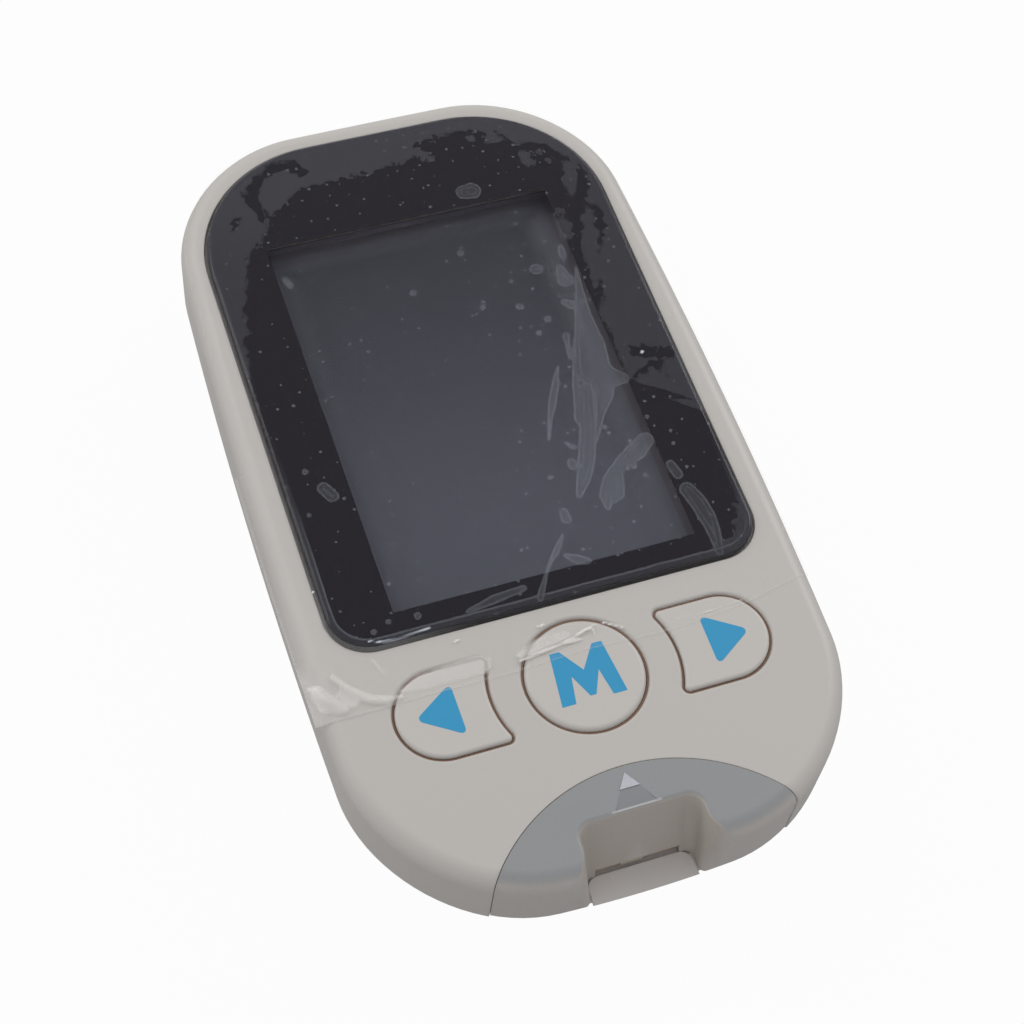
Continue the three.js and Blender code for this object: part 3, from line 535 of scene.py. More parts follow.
# %% [markdown]
# ## The outline of the casing
# Seen from above the casing is a rounded rectangle whose sides swell a little, more at the strip end,
# and which narrows slightly towards the top. Bevelled corners and a few cuts in the straight edges give
# the face its points, and a small formula pushes them out.

# %% Draw the casing outline
WIDTH, LENGTH, TOP, SEAM = 55.1, 99.5, 19.6, 11.2
SIDE_BULGE, STRIP_BULGE, FAR_BULGE, TAPER = 1.5, 2.1, 0.25, 0.014
STRIP_CORNER, FAR_CORNER = 16.8, 16.4
HALF_WIDTH = WIDTH / 2 - SIDE_BULGE
STRIP_END, FAR_END = STRIP_BULGE - LENGTH / 2, LENGTH / 2 - FAR_BULGE
MIDDLE, HALF_LENGTH = (STRIP_END + FAR_END) / 2, (FAR_END - STRIP_END) / 2


def swell(x, y):
    across, along = x / HALF_WIDTH, (y - MIDDLE) / HALF_LENGTH
    bulge = FAR_BULGE if along > 0 else STRIP_BULGE
    wide = (x + SIDE_BULGE * (1 - along * along) * across) * (1 - TAPER * along)
    return wide, y + bulge * (1 - across * across) * along


def casing_face(z, inset=0.0):
    bm = rounded_face(-HALF_WIDTH, HALF_WIDTH, STRIP_END, FAR_END, STRIP_CORNER, FAR_CORNER, z)
    straight = [edge for edge in bm.edges if edge.calc_length() > STRIP_CORNER / 2]
    bmesh.ops.subdivide_edges(bm, edges=straight, cuts=SIDE_CUTS)
    for vert in bm.verts:
        vert.co.x, vert.co.y = swell(vert.co.x, vert.co.y)
    if inset:
        ring = draw_in(bm, bm.faces[:], inset)
        bmesh.ops.delete(bm, geom=ring, context="FACES")
    return bm


outline = casing_face(0.0)
print("points round the casing:", len(outline.verts))
outline.free()

# %% [markdown]
# ## Key outlines
# The menu key is round. A side key has one round end and is hollowed by a circle round the menu key, so
# that the gap between them is even. Its two points are rounded by arcs that touch both neighbours. All
# arcs keep their centres when the outline grows, so a grown outline runs parallel and cuts the hole.
# The list at the end gives each key its outline and the size of its rolled edge.

# %% Draw the key outlines
KEY_Y, KEY_GAP = -28.45, 0.27
MENU_RADIUS = 6.34
SIDE_KEY_END, SIDE_KEY_HALF, SIDE_KEY_HOLLOW, SIDE_KEY_CORNER = 20.29, 4.84, 10.36, 0.5


def menu_solid(grow, low, high):
    return post(0, KEY_Y, MENU_RADIUS + grow, low, high)


def arc(x, y, radius, start, end, steps):
    """Points on an arc, for angles in radians."""
    angles = [start + (end - start) * i / steps for i in range(steps + 1)]
    return [(x + radius * math.cos(angle), y + radius * math.sin(angle)) for angle in angles]


def side_key_solid(side, grow, low, high):
    half, round_end = SIDE_KEY_HALF + grow, SIDE_KEY_END - SIDE_KEY_HALF
    corner_y = SIDE_KEY_HALF - SIDE_KEY_CORNER
    corner_x = math.sqrt((SIDE_KEY_HOLLOW + SIDE_KEY_CORNER) ** 2 - corner_y ** 2)
    turn = math.atan2(corner_y, corner_x)
    points = arc(0, 0, SIDE_KEY_HOLLOW - grow, -turn, turn, 30)
    points += arc(corner_x, corner_y, SIDE_KEY_CORNER + grow, math.pi + turn, math.pi / 2, 10)[1:]
    points += arc(round_end, 0, half, math.pi / 2, -math.pi / 2, 48)
    points += arc(corner_x, -corner_y, SIDE_KEY_CORNER + grow, math.pi * 1.5, math.pi - turn, 10)[:-1]
    bm = bmesh.new()
    bm.faces.new([bm.verts.new((side * x, KEY_Y + y, low)) for x, y in points])
    return raise_up(bm, high - low)


KEYS = (
    ("menu", menu_solid, 0.55), ("left", lambda *sizes: side_key_solid(-1, *sizes), 0.4),
    ("right", lambda *sizes: side_key_solid(1, *sizes), 0.4))
print("a side key is", round(SIDE_KEY_END - SIDE_KEY_HOLLOW, 2), "mm long at its middle")

# %% [markdown]
# ## Front shell
# One moulding with a rolled top edge, a shallow seat for the window, three key holes with eased rims
# and an arc cut away for the strip cover. It is extruded from the outline, its top edge is bevelled to
# a quarter round, it is hollowed, and then each opening is cut and its rim bevelled.

# %% Make the front shell
TOP_EDGE, SEAM_EASE, WALL = 2.0, 0.25, 1.8
LENS_HALF, LENS_LOW, LENS_HIGH, LENS_LOW_CORNER, LENS_HIGH_CORNER = 23.8, -19.5, 46.6, 4.5, 15.3
LENS_SEAT, LENS_GAP = 18.6, 0.3
OPENING_HALF, OPENING_LOW, OPENING_HIGH = 18.0, -16.8, 34.0
PORT_Y, PORT_RADIUS, PORT_STEPS = -59.1, 20.0, 288
KEYS_START, KEY_RIM, LENS_RIM, PORT_RIM = -38.0, 0.38, 0.18, 0.12


def upper_solid(setback):
    """The whole upper half as one solid, with its rolled top edge."""
    bm = raise_up(casing_face(SEAM, setback), TOP - SEAM)
    top = [edge for edge in bm.edges if all(vert.co.z > TOP - 0.01 for vert in edge.verts)]
    bevel(bm, top, TOP_EDGE, 10)
    low = [edge for edge in bm.edges if all(vert.co.z < SEAM + 0.01 for vert in edge.verts)]
    bevel(bm, low, SEAM_EASE, 2)
    return bm


def lens_solid(grow, low, high):
    face = rounded_face(
        -LENS_HALF - grow, LENS_HALF + grow, LENS_LOW - grow, LENS_HIGH + grow,
        LENS_LOW_CORNER + grow, LENS_HIGH_CORNER + grow, low)
    return raise_up(face, high - low)


def opening_block(inset, low, high):
    half = OPENING_HALF - inset
    return block(-half, half, OPENING_LOW + inset, OPENING_HIGH - inset, low, high)


def make_front_shell():
    bm = cut(
        upper_solid(0), raise_up(casing_face(SEAM - 1, WALL), TOP - WALL - SEAM + 1),
        lens_solid(LENS_GAP, LENS_SEAT, TOP + 1), opening_block(0, TOP - WALL - 1, TOP),
        *(outline(KEY_GAP, SEAM, TOP + 1) for name, outline, edge in KEYS),
        post(0, PORT_Y, PORT_RADIUS, SEAM - 1, TOP + 1, PORT_STEPS))

    def top_rims(near, far):
        return sharp_edges(bm, lambda middle: abs(middle.z - TOP) < 0.01 and near < middle.y < far)

    def on_port(middle):
        off = math.hypot(middle.x, middle.y - PORT_Y) - PORT_RADIUS
        return abs(off) < 0.05 and middle.z > SEAM + 0.5

    bevel(bm, top_rims(KEYS_START, LENS_LOW - 2), KEY_RIM, 4)
    bevel(bm, top_rims(LENS_LOW - 1, LENGTH), LENS_RIM, 2)
    bevel(bm, sharp_edges(bm, on_port), PORT_RIM, 2)
    return bm


finish_piece("front_shell", make_front_shell(), "root", casing_finish, ("front_casing",))

# %% [markdown]
# ## Keys
# Each key is a thick cap whose upper edge is rolled over, standing a tenth of a millimetre proud. Its
# foot ends above the dome of the keypad mat that it presses.

# %% Make the keys
KEY_TOP, KEY_FOOT = 19.7, 17.45

for name, outline, edge in KEYS:
    cap = outline(0, KEY_FOOT, KEY_TOP)
    bevel_top(cap, KEY_TOP, edge, 5)
    finish_piece(f"{name}_key_cap", cap, f"{name}_key", key_finish, (f"{name}_button",))

# %% [markdown]
# ## Gap shade lips
# The gap round a key isn't black on the real meter but a thin warm brown line. A lip of the soft keypad
# fills it just below the rim, and the lip's brown is painted warm shade for the gap. A lip is the key's
# own outline grown and cut by the same outline grown less, so it stays clear of the moving key by the
# same small gap all round.

# %% Make the gap shade lips
LIP_LOW, LIP_TOP, LIP_CLEAR, LIP_FIT = 18.7, 19.2, 0.06, 0.004

# The lip's warm brown is painted shade for the gaps round the keys.
gap_shade_rubber = moulded("gap_shade_rubber", colour(132, 100, 80), 0.6, 0.00002)
for name, outline, edge in KEYS:
    lip = combine(outline(KEY_GAP - LIP_FIT, LIP_LOW, LIP_TOP), outline(LIP_CLEAR, LIP_LOW - 1, LIP_TOP + 1))
    finish_piece(f"{name}_gap_shade_lip", lip, "root", gap_shade_rubber)

# %% [markdown]
# ## Printed marks
# The marks are screen-printed ink, a few hundredths of a millimetre thick. The arrowheads have two
# well rounded corners and a tighter tip. The letter is a plain one, drawn as half a shape and mirrored.

# %% Print the marks
INK_LOW, INK_HIGH = 19.695, 19.715
ARROW_BASE, ARROW_TIP, ARROW_HALF, ARROW_ROUND, ARROW_TIP_ROUND = 13.7, 18.3, 3.0, 0.85, 0.3
LETTER_HALF = (
    (0, -27.95), (0, -30.92), (0.32, -30.92), (1.5, -28.3), (2.05, -31.4), (3.55, -31.4), (2.86, -25.3),
    (1.8, -25.3))


def ink(name, tone):
    paint = Paint(name, {"Specular IOR Level": 0.35})
    speck = paint.noise(9000, 2.0)
    return paint.done(paint.blend(speck * 0.7, tone, shade(tone, 1.12)), 0.36 + speck * 0.1, speck, 0.00001)


blue_ink = ink("blue_ink", colour(48, 144, 189))


def flat_shape(corners, z):
    bm = bmesh.new()
    bm.faces.new([bm.verts.new((x, y, z)) for x, y in corners])
    return bm


def make_arrow(name, side):
    bm = flat_shape(
        ((ARROW_BASE, KEY_Y - ARROW_HALF), (ARROW_TIP, KEY_Y), (ARROW_BASE, KEY_Y + ARROW_HALF)), INK_LOW)
    bevel(bm, [vert for vert in bm.verts if vert.co.x < ARROW_TIP], ARROW_ROUND, 8, "VERTICES")
    bevel(bm, [vert for vert in bm.verts if vert.co.x > ARROW_TIP - 0.01], ARROW_TIP_ROUND, 4, "VERTICES")
    raise_up(bm, INK_HIGH - INK_LOW)
    scale(bm, (side, 1, 1))
    finish_piece(f"{name}_mark", bm, f"{name}_key", blue_ink)


def make_letter():
    bm = flat_shape(LETTER_HALF, INK_LOW)
    bmesh.ops.mirror(bm, geom=bm.verts[:] + bm.edges[:] + bm.faces[:], axis="X", merge_dist=0.001)
    face_outwards(bm)
    finish_piece("menu_mark", raise_up(bm, INK_HIGH - INK_LOW), "menu_key", blue_ink)


make_arrow("left", -1)
make_arrow("right", 1)
make_letter()

# %% [markdown]
# ## Strip port cover
# A frosted grey moulding fills the arc at the strip end. Its finger recess is open to the end wall and
# guides the strip down into the slot, under a small shiny arrow. It is the upper half crossed with a
# cylinder, with the recess and slot cut out of it. The recess has large soft fillets and a rounded lip.

# %% Make the port cover
PORT_FIT, PORT_SETBACK = 0.06, 0.15
RECESS_TOP = {"half": 6.6, "back": -43.8, "fillet": 1.5, "flare": 3.6}
RECESS_LOW = {"half": 5.9, "back": -46.7, "fillet": 1.0, "flare": 0.8}
RECESS_MOUTH, RECESS_STEPS, RECESS_LIP, BEYOND_END = -49.46, 10, 0.4, -53
SLOT_HALF, SLOT_TOP, SLOT_END = 4.6, 12.3, -32.8
MARK_APEX, MARK_BASE, MARK_HALF, MARK_DEPTH, MARK_RISE = -39.9, -41.55, 1.08, 0.12, 0.1
WEDGE_BASE, WEDGE_HALF, WEDGE_DEPTH, WEDGE_SLOPE, LIP_LINE = -43.9, 2.45, 0.1, 0.56, -43.6
WEDGE_RISE, MARK_INSET, MARK_DIP = 0.13, 0.24, 0.06
POCKET_START, POCKET_SIDE = -46.2, 7.0


def frosted():
    paint = Paint("frosted_grey", {"Specular IOR Level": 0.45})
    x, y, z = paint.place()
    side = abs(x)
    normal = paint.add("ShaderNodeNewGeometry", {}, {}, "Normal")
    facing = paint.add("ShaderNodeSeparateXYZ", {}, {0: normal}, "Z")
    # Painted light, in part: the upward top keeps the darker frosted grey, while faces that lean away from
    # upward and everything more than a millimetre below the top get a lighter wall grey, lighter to offset
    # the weaker light that falls on them. Inside the pocket that wall grey is a little darker and warmer.
    depth = facing.fall(0.5, 0.98).most(z.fall(TOP - 1.6, TOP - 1.0))
    pocket = (y + side * 0.5).rise(POCKET_START, POCKET_START + 1) * side.fall(POCKET_SIDE, POCKET_SIDE + 1)
    cloud = paint.noise(90, 3.0)
    speck = paint.noise(4200, 2.0, 0.6)
    down = y - MARK_BASE
    wedge = (1.1 - down * WEDGE_SLOPE - side).rise(-0.15, 0.15) * down.fall(-0.1, 0.1)
    upper = paint.blend(cloud, colour(141, 143, 145), colour(147, 148, 150))
    upper = paint.blend(wedge, upper, colour(133, 134, 138))
    wall = paint.blend(pocket, colour(190, 184, 180), colour(181, 173, 166))
    # Painted highlight: a thin pale line along the lip at the back of the recess, beside the wedge.
    lip_highlight = z.rise(TOP - 0.3, TOP - 0.15) * abs(y - LIP_LINE).fall(0.05, 0.15)
    lip_highlight = lip_highlight * side.fall(WEDGE_HALF, WEDGE_HALF + 0.4)
    tone = paint.blend(lip_highlight, paint.blend(depth, upper, wall), colour(186, 186, 188))
    tone = paint.blend(speck * 0.25, tone, colour(120, 119, 120))
    return paint.done(tone, 0.4 + (speck - 0.5) * 0.12, speck + cloud * 0.3, 0.00003)


frosted_finish = frosted()


def recess_outline(share, grow):
    """Right half of the pocket's outline, from the back to the mouth. The share is 0 at the top."""
    half, back, fillet, flare = (
        RECESS_TOP[size] + (RECESS_LOW[size] - RECESS_TOP[size]) * share for size in RECESS_TOP)
    half, back, fillet, flare = half + grow, back + grow, fillet + grow, flare - grow
    points = arc(half - fillet, back - fillet, fillet, math.pi / 2, 0, RECESS_STEPS)
    points += arc(half + flare, RECESS_MOUTH + flare, flare, math.pi, math.pi * 1.5, RECESS_STEPS)
    return points + [(half + flare, BEYOND_END)]


def recess_solid():
    """A pocket that narrows downwards, with a leaning back, flared sides and a rounded lip."""
    shoulder, floor = TOP - RECESS_LIP, SEAM - 1
    levels = [(floor + (shoulder - floor) * i / 8, 0) for i in range(8)]
    levels += arc(shoulder, RECESS_LIP, RECESS_LIP, -math.pi / 2, 0, 6) + [(TOP + 1, RECESS_LIP)]
    bm = bmesh.new()
    rings = []
    for z, grow in levels:
        right = recess_outline(min(1.0, (TOP - z) / (TOP - SEAM)), grow)
        rings.append([bm.verts.new((x, y, z)) for x, y in right + [(-x, y) for x, y in reversed(right)]])
    for low, high in zip(rings, rings[1:]):
        for i in range(len(low)):
            bm.faces.new((low[i - 1], low[i], high[i], high[i - 1]))
    bm.faces.new(rings[0])
    bm.faces.new(rings[-1])
    face_outwards(bm)
    return bm


def make_port_cover():
    disc = post(0, PORT_Y, PORT_RADIUS - PORT_FIT, SEAM - 1, TOP + 1, PORT_STEPS)
    bm = combine(upper_solid(PORT_SETBACK), disc, "INTERSECT")
    ramp = flat_shape(
        ((-WEDGE_HALF, WEDGE_BASE), (WEDGE_HALF, WEDGE_BASE), (0, MARK_APEX)), TOP - WEDGE_DEPTH)
    raise_up(ramp, 1 + WEDGE_DEPTH)
    for vert in ramp.verts:
        if vert.co.z < TOP and vert.co.y > MARK_BASE:
            vert.co.z = TOP + WEDGE_RISE
    slot = block(-SLOT_HALF, SLOT_HALF, RECESS_LOW["back"] - 2, SLOT_END, SEAM - 1, SLOT_TOP)
    return cut(bm, ramp, recess_solid(), slot)


def make_port_mark():
    bm = flat_shape(((-MARK_HALF, MARK_BASE), (MARK_HALF, MARK_BASE), (0, MARK_APEX)), TOP - MARK_DEPTH)
    raise_up(bm, MARK_DEPTH + MARK_RISE)
    face = [face for face in bm.faces if all(vert.co.z > TOP for vert in face.verts)]
    draw_in(bm, face, MARK_INSET, -MARK_DIP)
    paint = Paint("polished_grey", {"Specular IOR Level": 0.8, "Coat Weight": 0.6, "Coat Roughness": 0.08})
    speck = paint.noise(2500, 2.0)
    tone = paint.blend(speck, colour(168, 172, 182), colour(186, 189, 196))
    finish_piece("port_arrow", bm, "root", paint.done(tone, 0.18 + speck * 0.1))


finish_piece(
    "port_cover", make_port_cover(), "root", frosted_finish, ("strip_port_cover",))
make_port_mark()

# %% [markdown]
# ## Window and display
# The window is a clear sheet with a rounded upper edge, printed black on its back except over the
# display. The display lies more than a millimetre below it, so from the strip end its rim shows inside
# the far and the right edge of the opening, with the foam frame that lines it. Alpha makes the
# clear part, which is a little larger on the back, and the display's own node gets a lit area with a
# rim. The print shades the display near those two edges, so painted light makes its grey lighter there,
# and painted light also lifts the grey near every edge of the clear part and on the rim. Across the lit
# area the grey goes lighter towards the strip end.

# %% Make the window
LENS_BOTTOM, LENS_TOP, LENS_ROLL = 18.8, 20.2, 0.45
GASKET_LOW, GASKET_FIT, GASKET_WALL = 17.6, 0.02, 0.14
CLEAR_HALF, CLEAR_LOW, CLEAR_HIGH, BACK_ROOM, CLEAR_VEIL = 16.9, -16.3, 32.94, 1.3, 0.16
RIGHT_SHADE, FAR_SHADE = 4.2, 2.8


def outside_clear(x, y):
    """Distance outside the clear part of the window, below zero inside it."""
    middle, reach = (CLEAR_LOW + CLEAR_HIGH) / 2, (CLEAR_HIGH - CLEAR_LOW) / 2
    return (abs(x) - CLEAR_HALF).most(abs(y - middle) - reach)


def window_finish():
    paint = Paint("printed_window", {"Specular IOR Level": 0.2})
    x, y, z = paint.place()
    below = z.fall(LENS_BOTTOM + 0.1, LENS_BOTTOM + 0.2)
    printed = (outside_clear(x, y) - below * BACK_ROOM).rise(-0.04, 0.04)
    dust = paint.noise(2600, 3.0, 0.65)
    paint.set("Alpha", CLEAR_VEIL + printed * (1 - CLEAR_VEIL))
    tone = paint.blend(dust, colour(17, 14, 24), colour(24, 20, 31))
    return paint.done(tone, 0.07 + dust * 0.05, paint.noise(160, 2.0), 0.00002, 0.2)


def display_finish():
    paint = Paint("display", {"Specular IOR Level": 0.3})
    x, y, z = paint.place()
    beyond = outside_clear(x, y)
    fine = paint.noise(6000, 1.0)
    lit = paint.blend((y + x * 0.1).rise(CLEAR_LOW, CLEAR_HIGH), colour(112, 115, 128), colour(73, 74, 84))
    # Painted light: lighter within four millimetres of the edges of the clear part, against the print's
    # shade.
    lit = paint.blend(beyond.rise(-4.0, 0.0) * 0.3, lit, colour(128, 130, 142))
    lit = paint.blend(fine * 0.2, lit, colour(80, 81, 92))
    # Painted light: lighter near the right and the far edge, where the print shades the display most.
    at_right = x.rise(CLEAR_HALF - RIGHT_SHADE, CLEAR_HALF)
    at_far = y.rise(CLEAR_HIGH - FAR_SHADE, CLEAR_HIGH)
    lit = paint.blend(at_right.most(at_far) * 0.6, lit, colour(150, 151, 163))
    # The rim's grey is partly its own and partly painted light against the shade under the print.
    return paint.done(paint.blend(beyond.rise(0.0, 0.12), lit, colour(130, 127, 135)), 0.3 + fine * 0.1)


def make_window():
    bm = lens_solid(0, LENS_BOTTOM, LENS_TOP)
    bevel_top(bm, LENS_TOP, LENS_ROLL, 8)
    finish_piece("window", bm, "root", window_finish(), ("window_lens",))


def make_gasket():
    """A foam frame lines the opening, between the tape and the display."""
    high = LENS_SEAT - 0.05
    outer = opening_block(GASKET_FIT, GASKET_LOW, high)
    frame_shape = combine(outer, opening_block(GASKET_FIT + GASKET_WALL, GASKET_LOW - 1, high + 1))
    foam = moulded("gasket_foam", colour(116, 114, 124), 0.8)
    finish_piece("display_gasket", frame_shape, "root", foam)


make_window()
make_gasket()
dress("lcd_panel", display_finish())

# %% [markdown]
# ## Shape of the protective film
# The film is a very thin clear sheet. It lies on the window, comes down round it in a narrow tent and
# ends over the keys in a free edge. On the left it hangs a little over the side. A cloth simulation
# would be slow and would not follow known folds, so a grid is moved onto the shape point by point,
# which keeps the outline clean.

# %% Lay out the film
FILM_COLUMNS, FILM_ROWS, FILM_THICK = 200, 236, 0.04
FILM_ON_LENS, FILM_ON_CASE = LENS_TOP + 0.1, KEY_TOP + 0.08
FILM_EDGE = (
    (-29, -26.0), (-25, -26.0), (-19, -25.6), (-15, -25.4), (-9, -25.2), (-5.5, -25.1), (1, -24.8),
    (11.5, -25.3), (19, -25.0), (25, -24.1), (29, -23.8))
FILM_SETBACK, FILM_FAR_MARGIN, FILM_DROP = 0.5, 0.8, 1.2
LEFT_HANG, LEFT_HANG_END, RIGHT_HANG, RIGHT_HANG_END = 1.2, 5.4, 0.4, 12.4
TENT_IN, TENT_OUT = 0.75, 1.1
CREASES = (
    ((-27.6, -21.7, 0.1), (-26.2, -23.9, 0.15), (-24.8, -25.4, 0.1)),
    ((-25.0, -21.4, 0.1), (-23.9, -23.0, 0.15), (-21.8, -25.1, 0.2), (-19.2, -25.6, 0.1)),
    ((-6.2, -25.0, 0.05), (-1.5, -24.6, 0.1), (2.4, -23.8, 0.1)))
CREASE_HEIGHT, CREASE_REACH, WAVE_HEIGHT, WAVE_SCALE = 0.28, 0.7, 0.05, 0.22


def corner_distance(x, y, half, low, high, low_radius, high_radius):
    """Distance outside a rectangle with rounded corners, below zero inside it."""
    middle = (low + high) / 2
    radius = low_radius if y < middle else high_radius
    over_x, over_y = abs(x) - half + radius, abs(y - middle) - (high - low) / 2 + radius
    return min(max(over_x, over_y), 0) + math.hypot(max(over_x, 0), max(over_y, 0)) - radius


def between(pairs, value):
    """Straight-line interpolation in a list of pairs that goes upwards."""
    for (a, first), (b, second) in zip(pairs, pairs[1:]):
        if value <= b:
            return first + (second - first) * max(0.0, (value - a) / (b - a))
    return pairs[-1][1]


def ease(value, low, high):
    share = min(1.0, max(0.0, (value - low) / (high - low)))
    return share * share * (3 - 2 * share)


def straight_half_width(y):
    """Half the casing's width before its sides swell."""
    for end, radius, side in ((FAR_END, FAR_CORNER, 1), (STRIP_END, STRIP_CORNER, -1)):
        over = (y - end) * side + radius
        if over > 0:
            return HALF_WIDTH - radius + math.sqrt(max(radius * radius - over * over, 0.0))
    return HALF_WIDTH


def film_point(u, v):
    """The place of a point of the sheet for u and v from -1 to 1, and how far it drops over the side."""
    edge = between(FILM_EDGE, u * WIDTH / 2)
    y = edge + (FAR_END - FILM_FAR_MARGIN - edge) * (v + 1) / 2
    half = straight_half_width(y)
    x, swollen_y = swell(u * half, y)
    if u < 0:
        hangs = LEFT_HANG * (1 - ease(y, LEFT_HANG_END - 0.8, LEFT_HANG_END))
    else:
        hangs = RIGHT_HANG * (1 - ease(y, RIGHT_HANG_END - 0.6, RIGHT_HANG_END))
    spread = ease(abs(u), 0.8, 1.0)
    x += u * spread * (hangs - FILM_SETBACK)
    inside = -corner_distance(u * half, y, HALF_WIDTH, STRIP_END, FAR_END, STRIP_CORNER, FAR_CORNER)
    roll = max(0.0, TOP_EDGE - inside - spread * (FILM_SETBACK - hangs))
    fall = TOP_EDGE - math.sqrt(TOP_EDGE ** 2 - min(roll, TOP_EDGE) ** 2)
    stays = 1 - 0.45 * min(1.0, hangs)
    return x, swollen_y, stays * min(fall, FILM_DROP) + 0.3 * max(roll - TOP_EDGE, 0)


print("the film is", round(FAR_END - FILM_EDGE[0][1], 1), "mm long")

# %% [markdown]
# ## What shows in the film
# Where the film sticks it is nearly invisible, and where it has lifted it shows as a pale veil. Air shut
# in under it makes ovals and long blisters. Each is a chain of points with a radius, so a short list
# draws them all, and a point of the grid keeps its distance from the nearest. The finish turns those
# distances into crisp shapes, which is much quicker to render than the same sums in a shader.

# %% Mark the blisters, folds and lifted parts
BLISTERS = (
    ((16.6, 20.8, 0.2), (15.9, 17.7, 0.5), (15.1, 14.3, 1.0), (14.4, 10.1, 1.8), (13.6, 6.8, 2.1),
     (14.3, 6.0, 1.7), (13.6, 3.2, 1.1), (12.3, 0.9, 0.5), (10.7, -2.1, 0.3)),
    ((12.7, 10.6, 0.2), (11.2, 6.0, 0.4), (9.8, 0.9, 0.55)),
    ((11.9, 4.5, 0.9), (10.3, -0.6, 0.95), (8.8, -4.3, 1.0), (7.6, -6.6, 0.8), (6.5, -8.3, 0.4)),
    ((14.3, 6.0, 1.5), (15.3, 5.2, 1.3), (16.4, 4.8, 0.8)),
    ((10.0, 8.4, 0.15), (8.8, 6.0, 0.45), (7.6, 3.6, 0.5), (6.7, 1.8, 0.3), (5.7, -0.7, 0.2)),
    ((12.2, 12.0, 0.5), (12.0, 10.8, 0.3), (11.6, 9.0, 0.25)), ((7.3, -1.5, 0.25), (8.0, -2.4, 0.35)),
    ((7.1, -4.1, 0.55), (7.1, -4.7, 0.5)),
    ((16.0, -3.6, 0.95), (14.5, -4.7, 1.15), (12.5, -5.6, 0.85), (10.4, -7.4, 0.85), (9.3, -9.1, 0.75),
     (9.0, -10.6, 0.45)), ((11.2, -7.4, 0.8), (10.6, -9.3, 0.8), (9.9, -9.9, 0.45)),
    ((13.3, -5.8, 0.5), (13.5, -6.6, 0.3)), ((17.5, -7.4, 0.6), (17.8, -8.8, 0.62)),
    ((18.1, -10.9, 0.95), (18.6, -12.5, 1.05), (18.9, -14.6, 1.0), (18.9, -16.7, 0.8),
     (18.6, -19.2, 0.45)), ((15.9, 24.2, 0.4), (15.7, 22.9, 0.5)), ((14.8, 21.3, 0.5), (14.8, 19.5, 1.0)),
    ((13.7, 16.5, 0.5), (14.4, 15.9, 0.6)), ((4.2, -9.8, 0.5), (4.1, -10.8, 0.6)),
    ((3.1, -12.5, 0.2), (1.7, -14.3, 0.45), (1.1, -14.8, 0.25), (-0.2, -16.6, 0.22), (-1.7, -19.0, 0.45)),
    ((2.6, -15.0, 0.35), (3.7, -15.8, 0.65), (4.6, -16.2, 0.45)),
    ((-19.6, 0.2, 0.75), (-19.0, -1.0, 0.8)), ((7.7, 34.9, 1.1), (8.5, 34.9, 1.2)),
    ((-16.0, 28.1, 0.4), (-15.7, 27.1, 0.4)),
    ((-9.4, -18.4, 0.3), (-6.4, -17.8, 0.55), (-3.0, -17.4, 0.4)))
BUBBLES = (
    (-2.6, 22.4, 0.45), (4.4, 18.3, 0.4), (4.7, 19.1, 0.25), (12.1, 21.9, 0.8), (8.7, 21.0, 0.3),
    (8.5, 17.3, 0.5), (11.0, 14.8, 0.5), (9.4, 13.2, 0.4), (4.4, 26.4, 0.45), (11.9, 28.8, 0.3),
    (-20.9, 2.7, 0.4), (-22.0, -2.6, 0.3), (-17.7, -17.2, 0.35), (-19.5, -17.9, 0.35),
    (-14.6, -17.4, 0.45), (12.2, -0.8, 0.35), (9.8, 5.5, 0.3), (4.2, -5.3, 0.35), (14.3, -7.9, 0.3),
    (17.2, -0.8, 0.3))
LIFT_WIDTHS = (
    (-23.3, 14.4, 0.2), (-22.4, 19.7, 1.2), (-21.4, 25.2, 2.3), (-19.6, 31.5, 4.3), (-16.2, 34.7, 6.6),
    (-12.6, 38.4, 6.6), (-11.0, 40.0, 5.9), (-3.0, 40.4, 6.0), (3.2, 41.2, 5.2), (4.2, 43.6, 2.9),
    (12.3, 43.6, 2.6), (16.2, 40.4, 3.4), (19.2, 39.2, 1.8), (20.6, 35, 2.8), (19.6, 30, 4.1),
    (18.3, 25, 5.4), (17.3, 15.7, 6.4), (17.0, 4.3, 6.7), (19.6, 1.3, 4.1), (22.7, 0.0, 0.2),
    (23.3, -2, -0.9), (23.3, -9, -1.2), (22.6, -12.4, 0.6), (21.1, -15.8, 2.2), (20.6, -18.6, 1.6),
    (12, -19.5, -0.4), (-12, -19.5, -0.4))
